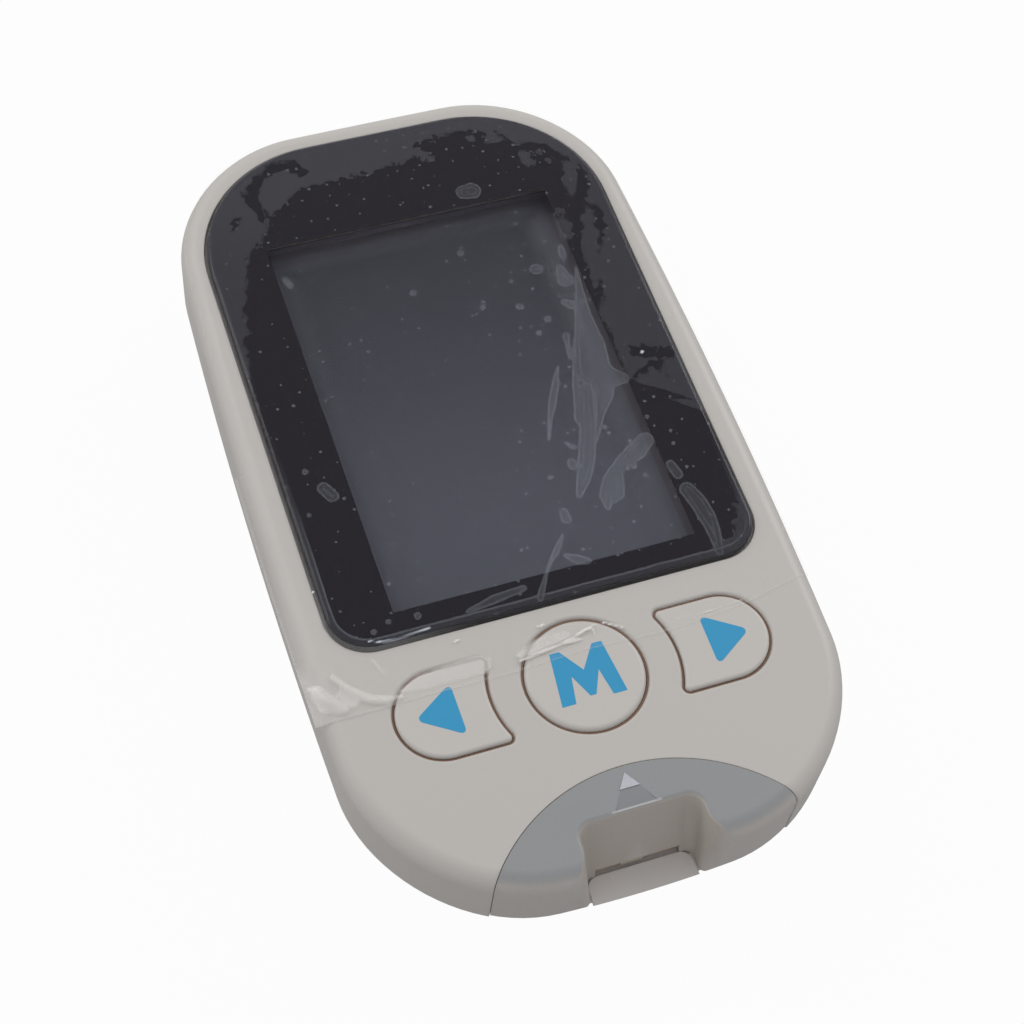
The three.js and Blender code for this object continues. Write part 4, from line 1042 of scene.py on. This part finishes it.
STUCK = (
    ((-9.9, 42.8, 0.8), (-10.9, 44.2, 0.8), (-13.3, 44.2, 0.6), (-14.6, 43.2, 0.7), (-16.0, 41.9, 0.8),
     (-16.7, 39.8, 0.6), (-16.0, 38.1, 0.75), (-16.2, 37.3, 0.5)),
    ((-17.4, 41.2, 0.4), (-17.0, 40.2, 0.4)), ((-19.1, 37.9, 0.4), (-19.8, 36.9, 0.35)),
    ((-3.1, 41.0, 0.35), (-2.6, 40.2, 0.5)),
    ((19.5, 37.6, 0.7), (21.1, 36.3, 0.45), (21.9, 34.9, 0.6), (21.6, 32.2, 0.9), (20.2, 30.2, 0.7),
     (19.1, 28.2, 0.8), (19.0, 26.6, 0.5), (17.9, 24.2, 0.45)),
    ((20.2, 30.2, 0.4), (22.0, 28.5, 0.45), (21.6, 26.4, 0.6), (21.2, 24.6, 0.35), (20.2, 22.5, 0.2)),
    ((18.6, 18.2, 0.2), (18.0, 16.8, 0.3), (17.4, 15.4, 0.5)),
    ((17.0, 4.1, 0.3), (18.6, 5.2, 0.25), (20.3, 5.7, 0.35), (21.4, 5.7, 0.25)),
    ((20.3, 5.7, 0.3), (21.3, 4.4, 0.3), (21.5, 3.4, 0.2)),
    ((19.0, 8.0, 0.7), (20.7, 7.3, 0.9), (22.6, 6.7, 0.8)), ((13.9, 4.0, 0.45), (14.9, 4.5, 0.5)))
ISLANDS = (
    ((16.4, 38.4, 0.8), (16.5, 37.3, 0.7)), ((18.8, 37.0, 0.5),), ((18.3, 38.4, 0.4),),
    ((21.2, 35.5, 0.8), (20.5, 33.7, 0.9), (19.9, 31.9, 0.6)), ((17.3, 27.2, 0.9), (17.1, 25.7, 0.9)),
    ((17.6, 29.1, 0.6),), ((14.3, 41.4, 0.4), (13.2, 42.0, 0.7)), ((10.9, 42.6, 0.5),),
    ((5.3, 41.0, 0.6), (3.9, 42.3, 0.6)), ((-14.3, 41.6, 0.7),), ((-15.2, 40.4, 0.5),))
GLINTS = (
    ((-6.0, -25.2, 0.1), (-3.6, -24.9, 0.16), (-1.3, -24.6, 0.1), (1.0, -24.7, 0.1)),
    ((-1.3, -24.5, 0.05), (0.6, -24.1, 0.12), (1.7, -23.7, 0.16), (2.3, -23.7, 0.1), (2.6, -24.6, 0.08)),
    ((1.7, -23.7, 0.1), (2.9, -23.4, 0.06)), ((3.7, -23.3, 0.12), (5.6, -24.5, 0.12)),
    ((11.5, -25.3, 0.04), (16.4, -25.3, 0.05), (18.8, -25.1, 0.12)),
    ((-11.9, -21.2, 0.1), (-11.5, -21.0, 0.12), (-11.1, -21.2, 0.1)),
    ((-3.1, -21.7, 0.08), (-2.8, -22.0, 0.12), (-2.3, -21.8, 0.1)),
    ((-20.3, -18.8, 0.08), (-18.9, -19.25, 0.12), (-17.1, -19.3, 0.1), (-15.4, -19.2, 0.1),
     (-13.8, -19.05, 0.08)), ((-24.9, -21.1, 0.1), (-24.5, -21.3, 0.03)), ((19.8, 7.6, 0.22),),
    ((-24.1, -11.5, 0.15),), ((-25.0, -12.0, 0.08),), ((25.6, 12.2, 0.12),))
GLOWS = (
    ((-27.4, -21.9, 0.1), (-26.2, -23.9, 0.2), (-24.8, -25.4, 0.2)),
    ((-26.9, -22.4, 0.5), (-26.2, -24.0, 0.8), (-25.0, -24.9, 0.6)),
    ((-24.6, -23.6, 0.4), (-23.8, -24.6, 0.5)),
    ((-24.9, -21.5, 0.05), (-24.0, -23.0, 0.2), (-23.0, -24.2, 0.25), (-21.8, -25.0, 0.25),
     (-20.3, -25.5, 0.2), (-19.0, -25.5, 0.05)), ((-20.5, -20.7, -0.15), (-19.7, -22.7, -0.1)),
    ((-18.6, -25.0, 0.1), (-16.5, -24.6, 0.6), (-13.5, -24.4, 0.8), (-10.0, -24.3, 0.9)),
    ((-5.6, -24.6, 0.3), (-3.4, -23.9, 0.5), (-0.6, -23.6, 0.3)))
REACH, LIFT_MIDDLE, FILM_HALF_LENGTH = 1.6, 12, 36


def chain_segments(chains):
    """Each pair of neighbours in a chain, with the box that holds all that is within reach of it."""
    rows = []
    for chain in chains:
        for first, second in zip(chain, chain[1:] or chain):
            wide = max(first[2], second[2]) + REACH
            left, right = sorted((first[0], second[0]))
            low, high = sorted((first[1], second[1]))
            rows.append((first, second, (left - wide, right + wide, low - wide, high + wide)))
    return rows


def nearest(rows, x, y):
    """Distance from the nearest chain's edge, below zero inside it."""
    best = REACH
    for (x1, y1, r1), (x2, y2, r2), (left, right, low, high) in rows:
        if left < x < right and low < y < high:
            run_x, run_y = x2 - x1, y2 - y1
            along = ((x - x1) * run_x + (y - y1) * run_y) / max(run_x * run_x + run_y * run_y, 1e-9)
            along = min(1.0, max(0.0, along))
            off = math.hypot(x - x1 - run_x * along, y - y1 - run_y * along)
            best = min(best, off - r1 - (r2 - r1) * along)
    return best


lift_by_angle = sorted(
    (math.atan2(y - LIFT_MIDDLE, x) + turn, width) for x, y, width in LIFT_WIDTHS
    for turn in (-math.tau, 0, math.tau))
marks = {
    "blister": BLISTERS + tuple((dot,) for dot in BUBBLES), "stuck": STUCK, "island": ISLANDS,
    "glint": GLINTS, "glow": GLOWS}
marks = {name: chain_segments(chains) for name, chains in marks.items()}
crease_rows = chain_segments(CREASES)
print("segments:", {name: len(rows) for name, rows in marks.items()})

# %% [markdown]
# ## Sheet of the film
# The grid gets its places and its distances in one pass, and a Solidify modifier gives it thickness.

# %% Make the film's sheet
def make_film_sheet():
    bm = bmesh.new()
    bmesh.ops.create_grid(bm, x_segments=FILM_COLUMNS, y_segments=FILM_ROWS, size=1.0)
    layers = {name: bm.verts.layers.float.new(name) for name in ("inside_window", "lift", "rim", *marks)}
    for vert in bm.verts:
        u, v = vert.co.x, vert.co.y
        x, y, drop = film_point(u, v)
        outside = corner_distance(x, y, LENS_HALF, LENS_LOW, LENS_HIGH, LENS_LOW_CORNER, LENS_HIGH_CORNER)
        share = ease(outside, -TENT_IN, TENT_OUT)
        wave = abs(noise.noise(Vector((x * WAVE_SCALE, y * WAVE_SCALE, 3.1)))) * WAVE_HEIGHT
        crease = CREASE_HEIGHT * (1 - ease(nearest(crease_rows, x, y), -0.1, CREASE_REACH))
        z = FILM_ON_LENS + (FILM_ON_CASE - FILM_ON_LENS) * share - drop + wave + crease
        vert[layers["inside_window"]] = -outside
        vert[layers["lift"]] = between(lift_by_angle, math.atan2(y - LIFT_MIDDLE, x)) + outside
        vert[layers["rim"]] = min((1 - abs(u)) * HALF_WIDTH, (1 + v) * FILM_HALF_LENGTH)
        for name, rows in marks.items():
            vert[layers[name]] = nearest(rows, x, y)
        vert.co = (x, y, z)
    return bm


film_sheet = make_film_sheet()
print("points in the film:", len(film_sheet.verts))

# %% [markdown]
# ## Finish of the film
# The veil is the alpha of a pale glossy surface, seen twice because the sheet has two faces. Noise added
# to a distance makes its edge ragged. Blisters have a paler rim, fine specks come from cells of random
# size, and the glints and glows of folds are painted highlights, whiter than the veil, as are the thin
# lines along the tent and along the sheet's edge.

# %% Make the film's finish
CASE_VEIL, LIFTED_VEIL, BLISTER_VEIL, BLISTER_RIM, INNER_VEIL = 0.016, 0.017, 0.0185, 0.026, 0.016
GLINT_VEIL, GLOW_VEIL = 0.5, 0.28
SPECK_CELLS, SPECK_LEAST, SPECK_SIZE = 620, 0.42, 0.25


def film_finish():
    paint = Paint("clear_film", {"Specular IOR Level": 0.5})
    x, y, z = paint.place()
    left, near = 0 - x, 0 - y

    def mark(name):
        return paint.add("ShaderNodeAttribute", {"attribute_name": name}, {}, "Fac")

    small, broad = paint.noise(1300, 3.0, 0.7) - 0.5, paint.noise(380, 6.0, 0.72) - 0.5
    inside = mark("inside_window")
    in_window = inside.rise(-0.05, 0.05)
    on_case = 1 - in_window

    blister = mark("blister") + small * 0.26
    body = blister.fall(-0.05, 0.05)
    rim = abs(blister + 0.14).fall(0.02, 0.2)
    inner = abs(blister + 0.62 + broad * 0.5).fall(0.02, 0.14)
    stuck = (mark("stuck") + small * 2.4).fall(-0.04, 0.04)
    island = (mark("island") + small * 2.4).fall(-0.04, 0.04)
    lift = (mark("lift") + broad * 2.4 + small * 2.6).rise(-0.05, 0.05)
    lifted = (lift * (1 - stuck)).most(island)

    cells = paint.add(
        "ShaderNodeTexVoronoi", {"feature": "F1", "voronoi_dimensions": "2D"},
        {"Vector": paint.where(), "Scale": SPECK_CELLS}, "Distance")
    size = (cells.other("Color") - SPECK_LEAST + x.rise(-8.0, 14.0) * 0.06) * SPECK_SIZE
    speck = (size - cells).rise(-0.006, 0.012) * in_window
    tent = inside.rise(0.0, 0.1) * inside.fall(TENT_IN, TENT_IN + 0.1) * (near - x * 0.25).rise(-3.0, 11.0)
    # Painted highlight: a thin bright line where the tent starts on the window, stronger towards the strip
    # end.
    tent_highlight = abs(inside - TENT_IN - broad * 0.25).fall(0.03, 0.2) * (near - x * 0.25).rise(3.0, 17.0)

    # Painted highlights: glints and glows along the folds.
    glint = (mark("glint") + small * 0.06).fall(-0.06, 0.1)
    glow = (mark("glow") + broad * 0.6).fall(-0.1, 0.45)
    # Painted highlight: a pale line along the sheet's cut edge over the casing.
    edge_highlight = mark("rim").fall(0.05, 0.3)
    haze = left.rise(8.0, 20.0) * near.rise(6.0, 20.0)
    hangs = left.rise(26.0, 27.2) * near.rise(18.5, 21.0)

    on_window = body * BLISTER_VEIL + rim * BLISTER_RIM + inner * INNER_VEIL
    on_window = on_window.most(lifted * (y.rise(30.0, 42.0) * 0.005 + LIFTED_VEIL)).most(tent_highlight * 0.05)
    outside = CASE_VEIL + haze * 0.05 + hangs * 0.1 + edge_highlight * 0.06 * on_case
    veil = (on_window * in_window).most(speck * 0.06).most(tent * 0.014).most(on_case * outside)
    paint.set("Alpha", (veil + glow * on_case * GLOW_VEIL + glint * GLINT_VEIL).least(1.0))
    tone = paint.blend(in_window, colour(242, 239, 236), colour(226, 232, 245))
    relief = body * in_window + speck * 0.5 + glint + broad
    return paint.done(tone, 0.16 + small * 0.1, relief, 0.00008, 0.5)


def make_film():
    piece = finish_piece("film_sheet", film_sheet, "root", film_finish(), ("screen_film",), 60)
    piece.modifiers.remove(piece.modifiers["even_shading"])
    solid = piece.modifiers.new("thickness", "SOLIDIFY")
    solid.thickness = FILM_THICK * MM
    solid.offset = -1


make_film()

# %% [markdown]
# ## Rear shell
# The back is a shallow bowl: a flat rest face, a rounded edge and sides that lean out to the seam. The
# bowl is drawn from the seam down. Each step insets the last face by what the side draws in there and
# lowers it. The battery bay, the screw wells and the door's place are joined and cut as in the mould.

# %% Make the rear shell
REAR_SETBACK, REAR_EDGE, EDGE_DRAFT, SEAM_DRAFT = 0.5, 7.0, 40.0, 30.0
REAR_STEPS, MERGE = 10, 0.0005
BAY_START, BAY_END, BAY_HALF, BAY_OPEN, BAY_TOP, BAY_WALL = -14.9, 35.1, 11.9, 11.0, 12.7, 1.2
LIP, DOOR_END_TOP, DOOR_FIT = 0.9, 6.0, 0.3
SCREWS = ((-17, 39.5), (17, 39.5), (-17.5, -37), (17.5, -37))
SEAT, SEAT_WALL, WELL, BOSS, SHANK_HOLE = 7.6, 2.0, 2.3, 3.3, 1.3


def rear_profile(wall):
    """Inset from the outline and height of each step, from the seam down to the back."""
    edge, seam = math.radians(EDGE_DRAFT), math.radians(SEAM_DRAFT)
    edge_height = REAR_EDGE * (1 - math.sin(edge))
    side_radius = (SEAM - edge_height) / (math.sin(edge) - math.sin(seam))
    reach = side_radius * (math.cos(seam) - math.cos(edge))
    rows = []
    for i in range(REAR_STEPS + 1):
        angle = seam + (edge - seam) * i / REAR_STEPS
        drawn = side_radius * (math.cos(seam) - math.cos(angle))
        rows.append((angle, drawn, edge_height + side_radius * (math.sin(edge) - math.sin(angle))))
    for i in range(1, REAR_STEPS + 1):
        angle = edge + (math.pi / 2 - edge) * i / REAR_STEPS
        drawn = reach + REAR_EDGE * (math.cos(edge) - math.cos(angle))
        rows.append((angle, drawn, REAR_EDGE * (1 - math.sin(angle))))
    return [(drawn + wall * math.cos(angle), z + wall * math.sin(angle)) for angle, drawn, z in rows]


def rear_solid(wall=0.0):
    rows = rear_profile(wall)
    inset, height = rows[0][0], SEAM + wall
    bm = casing_face(height, REAR_SETBACK + inset)
    bmesh.ops.duplicate(bm, geom=bm.verts[:] + bm.edges[:] + bm.faces[:])
    floor = bm.faces[:1]
    for next_inset, level in rows[(0 if wall else 1):]:
        draw_in(bm, floor, max(next_inset - inset, 0.0001))
        bmesh.ops.translate(bm, vec=(0, 0, level - height), verts=floor[0].verts)
        inset, height = next_inset, level
    bmesh.ops.remove_doubles(bm, verts=bm.verts, dist=MERGE)
    face_outwards(bm)
    return bm


def bay_block(half, margin, low, high):
    return block(-half, half, BAY_START - margin, BAY_END + margin, low, high)


def door_space(gap):
    half, start = BAY_OPEN - DOOR_FIT + gap, BAY_START + DOOR_FIT - gap
    return block(-half, half, start, LENGTH / 2 + 1, -1, DOOR_END_TOP + gap)


def make_rear_shell():
    bm = combine(rear_solid(), rear_solid(WALL))
    bay = bay_block(BAY_HALF + BAY_WALL, BAY_WALL, 0.01, BAY_TOP + LIP)
    bm = combine(bm, combine(bay, bay_block(BAY_HALF, 0, LIP, BAY_TOP)), "UNION")
    for x, y in SCREWS:
        bm = combine(bm, combine(post(x, y, BOSS, -1, SEAT + SEAT_WALL), rear_solid(), "INTERSECT"), "UNION")
    for near, far, high in ((BAY_START - 2, LENGTH, WALL + DOOR_FIT), (BAY_END + BAY_WALL, LENGTH, TOP)):
        bm = combine(bm, combine(door_space(DOOR_FIT), block(-30, 30, near, far, -2, high), "INTERSECT"))
    floor = block(-BAY_HALF, BAY_HALF, BAY_START, BAY_END + BAY_WALL + 1, LIP, WALL + DOOR_FIT)
    holes = ((WELL, SEAT), (SHANK_HOLE, SEAM + 1))
    return cut(bm, floor, *(post(x, y, radius, -1, high) for x, y in SCREWS for radius, high in holes))


finish_piece("rear_shell", make_rear_shell(), "root", casing_finish, ("rear_casing",))

# %% [markdown]
# ## Strip tongue
# The floor of the finger recess belongs to the rear shell and shows under the strip cover. It is a pad
# with rounded corners at the back, on an apron that lies a little lower. A shutter closes the upper part
# of the slot, and a rib stands forward at its middle.

# %% Make the strip tongue
TONGUE_TOP, TONGUE_LOW, TONGUE_HALF, TONGUE_BACK, TONGUE_CORNER = 11.35, 10.45, 5.8, -46.55, 1.5
TONGUE_FRONT, TONGUE_EDGE, APRON_HALF, APRON_DEPTH, HIDDEN_SETBACK = -52, 0.15, 6.6, 0.35, 1.2
RIB_LEFT, RIB_RIGHT, RIB_FRONT, SHUTTER_FRONT, GUIDE_LOW, GUIDE_FIT = -1.9, 0.7, -46.4, -46.2, 11.75, 0.02


def make_strip_tongue():
    """Its front lies in the end wall above the seam, and below the seam it stays behind the rear shell."""
    pad = rounded_face(
        -TONGUE_HALF, TONGUE_HALF, TONGUE_FRONT, TONGUE_BACK, 0, TONGUE_CORNER, TONGUE_LOW, 10)
    raise_up(pad, TONGUE_TOP - TONGUE_LOW)
    rim = sharp_edges(pad, lambda middle: middle.z > TONGUE_TOP - 0.01 and middle.y > TONGUE_FRONT + 1)
    bevel(pad, rim, TONGUE_EDGE, 3)
    apron_top = TONGUE_TOP - APRON_DEPTH
    apron = block(-APRON_HALF, APRON_HALF, TONGUE_FRONT, SLOT_END - 8, TONGUE_LOW - 0.1, apron_top)
    above = raise_up(casing_face(SEAM - 0.02, PORT_SETBACK), 3)
    below = raise_up(casing_face(SEAM - 3, HIDDEN_SETBACK), 3.1)
    bm = combine(combine(pad, apron, "UNION"), combine(above, below, "UNION"), "INTERSECT")
    # Painted light, in part: the tongue gets a lighter grey than the casing plastic, to offset the shade in
    # the recess.
    satin = moulded("tongue_satin", colour(200, 195, 192), 0.4)
    finish_piece("strip_tongue", bm, "root", satin)


def make_slot_guide():
    half, high = SLOT_HALF - GUIDE_FIT, SLOT_TOP - GUIDE_FIT
    shutter = block(-half, half, SHUTTER_FRONT, SHUTTER_FRONT + 1, GUIDE_LOW, high)
    brown = moulded("shutter_brown", colour(196, 168, 142), 0.5)
    finish_piece("slot_shutter", shutter, "root", brown)
    rib = block(RIB_LEFT, RIB_RIGHT, RIB_FRONT, SHUTTER_FRONT + 0.5, GUIDE_LOW - 0.1, high)
    bevel(rib, rib.edges[:], 0.1, 3)
    grey = moulded("guide_plastic", colour(168, 158, 146), 0.5)
    finish_piece("strip_guide", rib, "root", grey)


make_slot_guide()
make_strip_tongue()

# %% [markdown]
# ## Battery door
# The door is a piece of the same bowl, so its outside runs on from the back. It has three pairs of
# rails that run above the lips of the bay, finger grooves at its far part and a sunk arrow that points
# the way it slides.

# %% Make the battery door
RAIL_HALF, RAIL_LOW, RAIL_THICK, RAIL_LENGTH, RAIL_PITCH, RAILS = 11.6, 1.2, 0.8, 6.0, 14.0, 3
GRIP_START, GRIP_PITCH, GRIP_WIDTH, GRIP_DEPTH, GRIP_HALF, GRIPS = 24.0, 1.9, 0.95, 0.5, 6.5, 5
GRIP_ROUND, GRIP_EASE = 0.45, 0.25
ARROW_START, ARROW_POINT, ARROW_WIDE, ARROW_DEPTH, ARROW_CORNER = 15.5, 20.0, 3.0, 0.3, 0.6


def make_battery_door():
    bm = combine(combine(rear_solid(), rear_solid(WALL)), door_space(0), "INTERSECT")
    for i in range(RAILS):
        start = BAY_START + RAIL_LENGTH / 2 + i * RAIL_PITCH
        rail = block(-RAIL_HALF, RAIL_HALF, start, start + RAIL_LENGTH, RAIL_LOW, RAIL_LOW + RAIL_THICK)
        bm = combine(bm, rail, "UNION")
    for i in range(GRIPS):
        start = GRIP_START + i * GRIP_PITCH
        groove = rounded_face(
            -GRIP_HALF, GRIP_HALF, start, start + GRIP_WIDTH, GRIP_ROUND, GRIP_ROUND, -1, 6)
        raise_up(groove, 1 + GRIP_DEPTH)
        bevel(groove, [edge for edge in groove.edges if all(v.co.z > 0 for v in edge.verts)], GRIP_EASE, 3)
        bm = combine(bm, groove)
    arrow = flat_shape(((-ARROW_WIDE, ARROW_START), (ARROW_WIDE, ARROW_START), (0, ARROW_POINT)), -1)
    bevel(arrow, arrow.verts[:], ARROW_CORNER, 4, "VERTICES")
    bm = combine(bm, raise_up(arrow, 1 + ARROW_DEPTH))
    finish_piece("battery_cover", bm, "door", casing_finish, ("battery_door",))


make_battery_door()

# %% [markdown]
# ## Screws
# Case screws sit at the bottom of deep wells and board screws under the board. Each is turned from its
# half profile with a full spin, and a cross is cut into its head. The two rows below hold the head's
# radius and thickness, and the shank's radius, length and tip.

# %% Make the screws
CASE_SCREW, BOARD_SCREW = (2.0, 1.4, 1.0, 6.6, 0.8), (1.5, 0.9, 0.6, 3.2, 0.5)
BOARD_SCREW_X, BOARD_SCREW_Y, BOARD_SEAT, THREAD_START = 23.2, 8.6, 14.0, 0.4


def turned(profile, steps=40):
    """Spins a half profile of radius and height round the upright axis."""
    bm = bmesh.new()
    verts = [bm.verts.new((radius, 0, z)) for radius, z in profile]
    edges = [bm.edges.new(pair) for pair in zip(verts, verts[1:])]
    bmesh.ops.spin(
        bm, geom=verts + edges, cent=(0, 0, 0), axis=(0, 0, 1), angle=math.tau, steps=steps, use_merge=True)
    bmesh.ops.remove_doubles(bm, verts=bm.verts, dist=MERGE)
    face_outwards(bm)
    return bm


def make_screw(name, x, y, seat, head, thick, shank, length, tip):
    root, pitch = shank * 0.82, shank * 0.55
    profile = [
        (0, -thick), (head * 0.55, -thick), (head * 0.85, -thick * 0.8), (head, -thick * 0.35), (head, 0),
        (shank, 0)]
    z = THREAD_START
    while z < length - tip - pitch:
        profile += [(root, z), (shank, z + pitch / 2)]
        z += pitch
    arms = ((head * 0.16, head * 0.62), (head * 0.62, head * 0.16))
    bm = cut(
        turned(profile + [(root, length - tip), (0, length)]),
        *(block(-wide, wide, -long, long, -thick - 1, -thick * 0.35) for wide, long in arms))
    move(bm, (x, y, seat))
    finish_piece(name + "_turned", bm, "root", screw_steel, (name,), 30)


for i, (x, y) in enumerate(SCREWS):
    make_screw(f"case_screw_{i + 1}", x, y, SEAT, *CASE_SCREW)
for i, x in enumerate((-BOARD_SCREW_X, BOARD_SCREW_X)):
    make_screw(f"board_screw_{i + 1}", x, BOARD_SCREW_Y, BOARD_SEAT, *BOARD_SCREW)

# %% [markdown]
# ## Battery contacts
# A cell's flat end meets a cone of spring wire, and its nub a dimple in the plate. The wire is a small
# circle that is spun with a shift along the axis, and the coil is then drawn in towards its tip.

# %% Make the battery contacts
CELL_X, CELL_Z, PLATE_THICK, PLATE_HALF, PLATE_FIT = 5.55, 7.3, 0.4, 4.5, 0.3
COIL_RADIUS, COIL_TIP, COIL_LENGTH, COIL_TURNS, COIL_STEPS, WIRE = 2.9, 1.7, 3.0, 4, 112, 0.24
DIMPLE = ((1.6, -0.05), (1.45, 0.1), (1.1, 0.3), (0.7, 0.4), (0, 0.42))


def add_to(bm, extra):
    mesh = bpy.data.meshes.new("extra")
    extra.to_mesh(mesh)
    extra.free()
    bm.from_mesh(mesh)
    bpy.data.meshes.remove(mesh)


def coil_spring(x, wall, direction):
    bm = bmesh.new()
    bmesh.ops.create_circle(bm, cap_ends=False, radius=WIRE, segments=10)
    tilt(bm, math.pi / 2)
    move(bm, (COIL_RADIUS, 0, WIRE))
    bmesh.ops.spin(
        bm, geom=bm.verts[:] + bm.edges[:], cent=(0, 0, 0), axis=(0, 0, 1),
        dvec=(0, 0, (COIL_LENGTH - 2 * WIRE) / COIL_STEPS), angle=math.tau * COIL_TURNS, steps=COIL_STEPS,
        use_merge=False)
    bmesh.ops.holes_fill(bm, edges=[edge for edge in bm.edges if edge.is_boundary], sides=10)
    for vert in bm.verts:
        pull = (COIL_RADIUS - COIL_TIP) * vert.co.z / COIL_LENGTH / math.hypot(vert.co.x, vert.co.y)
        vert.co.x, vert.co.y = vert.co.x * (1 - pull), vert.co.y * (1 - pull)
    tilt(bm, -direction * math.pi / 2)
    move(bm, (x, wall + direction * (PLATE_FIT + PLATE_THICK - 0.02), CELL_Z))
    return bm


def dimple(x, wall, direction):
    bm = turned(DIMPLE, 32)
    tilt(bm, -direction * math.pi / 2)
    move(bm, (x, wall + direction * (PLATE_FIT + PLATE_THICK), CELL_Z))
    bmesh.ops.holes_fill(bm, edges=[edge for edge in bm.edges if edge.is_boundary], sides=40)
    return bm


def plate(left, right, wall, direction):
    near, far = sorted((wall + direction * PLATE_FIT, wall + direction * (PLATE_FIT + PLATE_THICK)))
    bm = block(left, right, near, far, CELL_Z - PLATE_HALF, CELL_Z + PLATE_HALF)
    bevel(bm, bm.edges[:], 0.1, 2)
    return bm


def make_contact(name, node, left, right, wall, direction, springs, dimples):
    bm = plate(left, right, wall, direction)
    for x in springs:
        add_to(bm, coil_spring(x, wall, direction))
    for x in dimples:
        add_to(bm, dimple(x, wall, direction))
    finish_piece(name, bm, "root", spring_metal, (node,), 50)


reach = CELL_X + PLATE_HALF
make_contact("bridge_spring_plate", "contact_bridge", -reach, reach, BAY_START, 1, (-CELL_X,), (CELL_X,))
make_contact("spring_plate", "contact_negative", CELL_X - PLATE_HALF, reach, BAY_END, -1, (CELL_X,), ())
make_contact("dimple_plate", "contact_positive", -reach, PLATE_HALF - CELL_X, BAY_END, -1, (), (-CELL_X,))
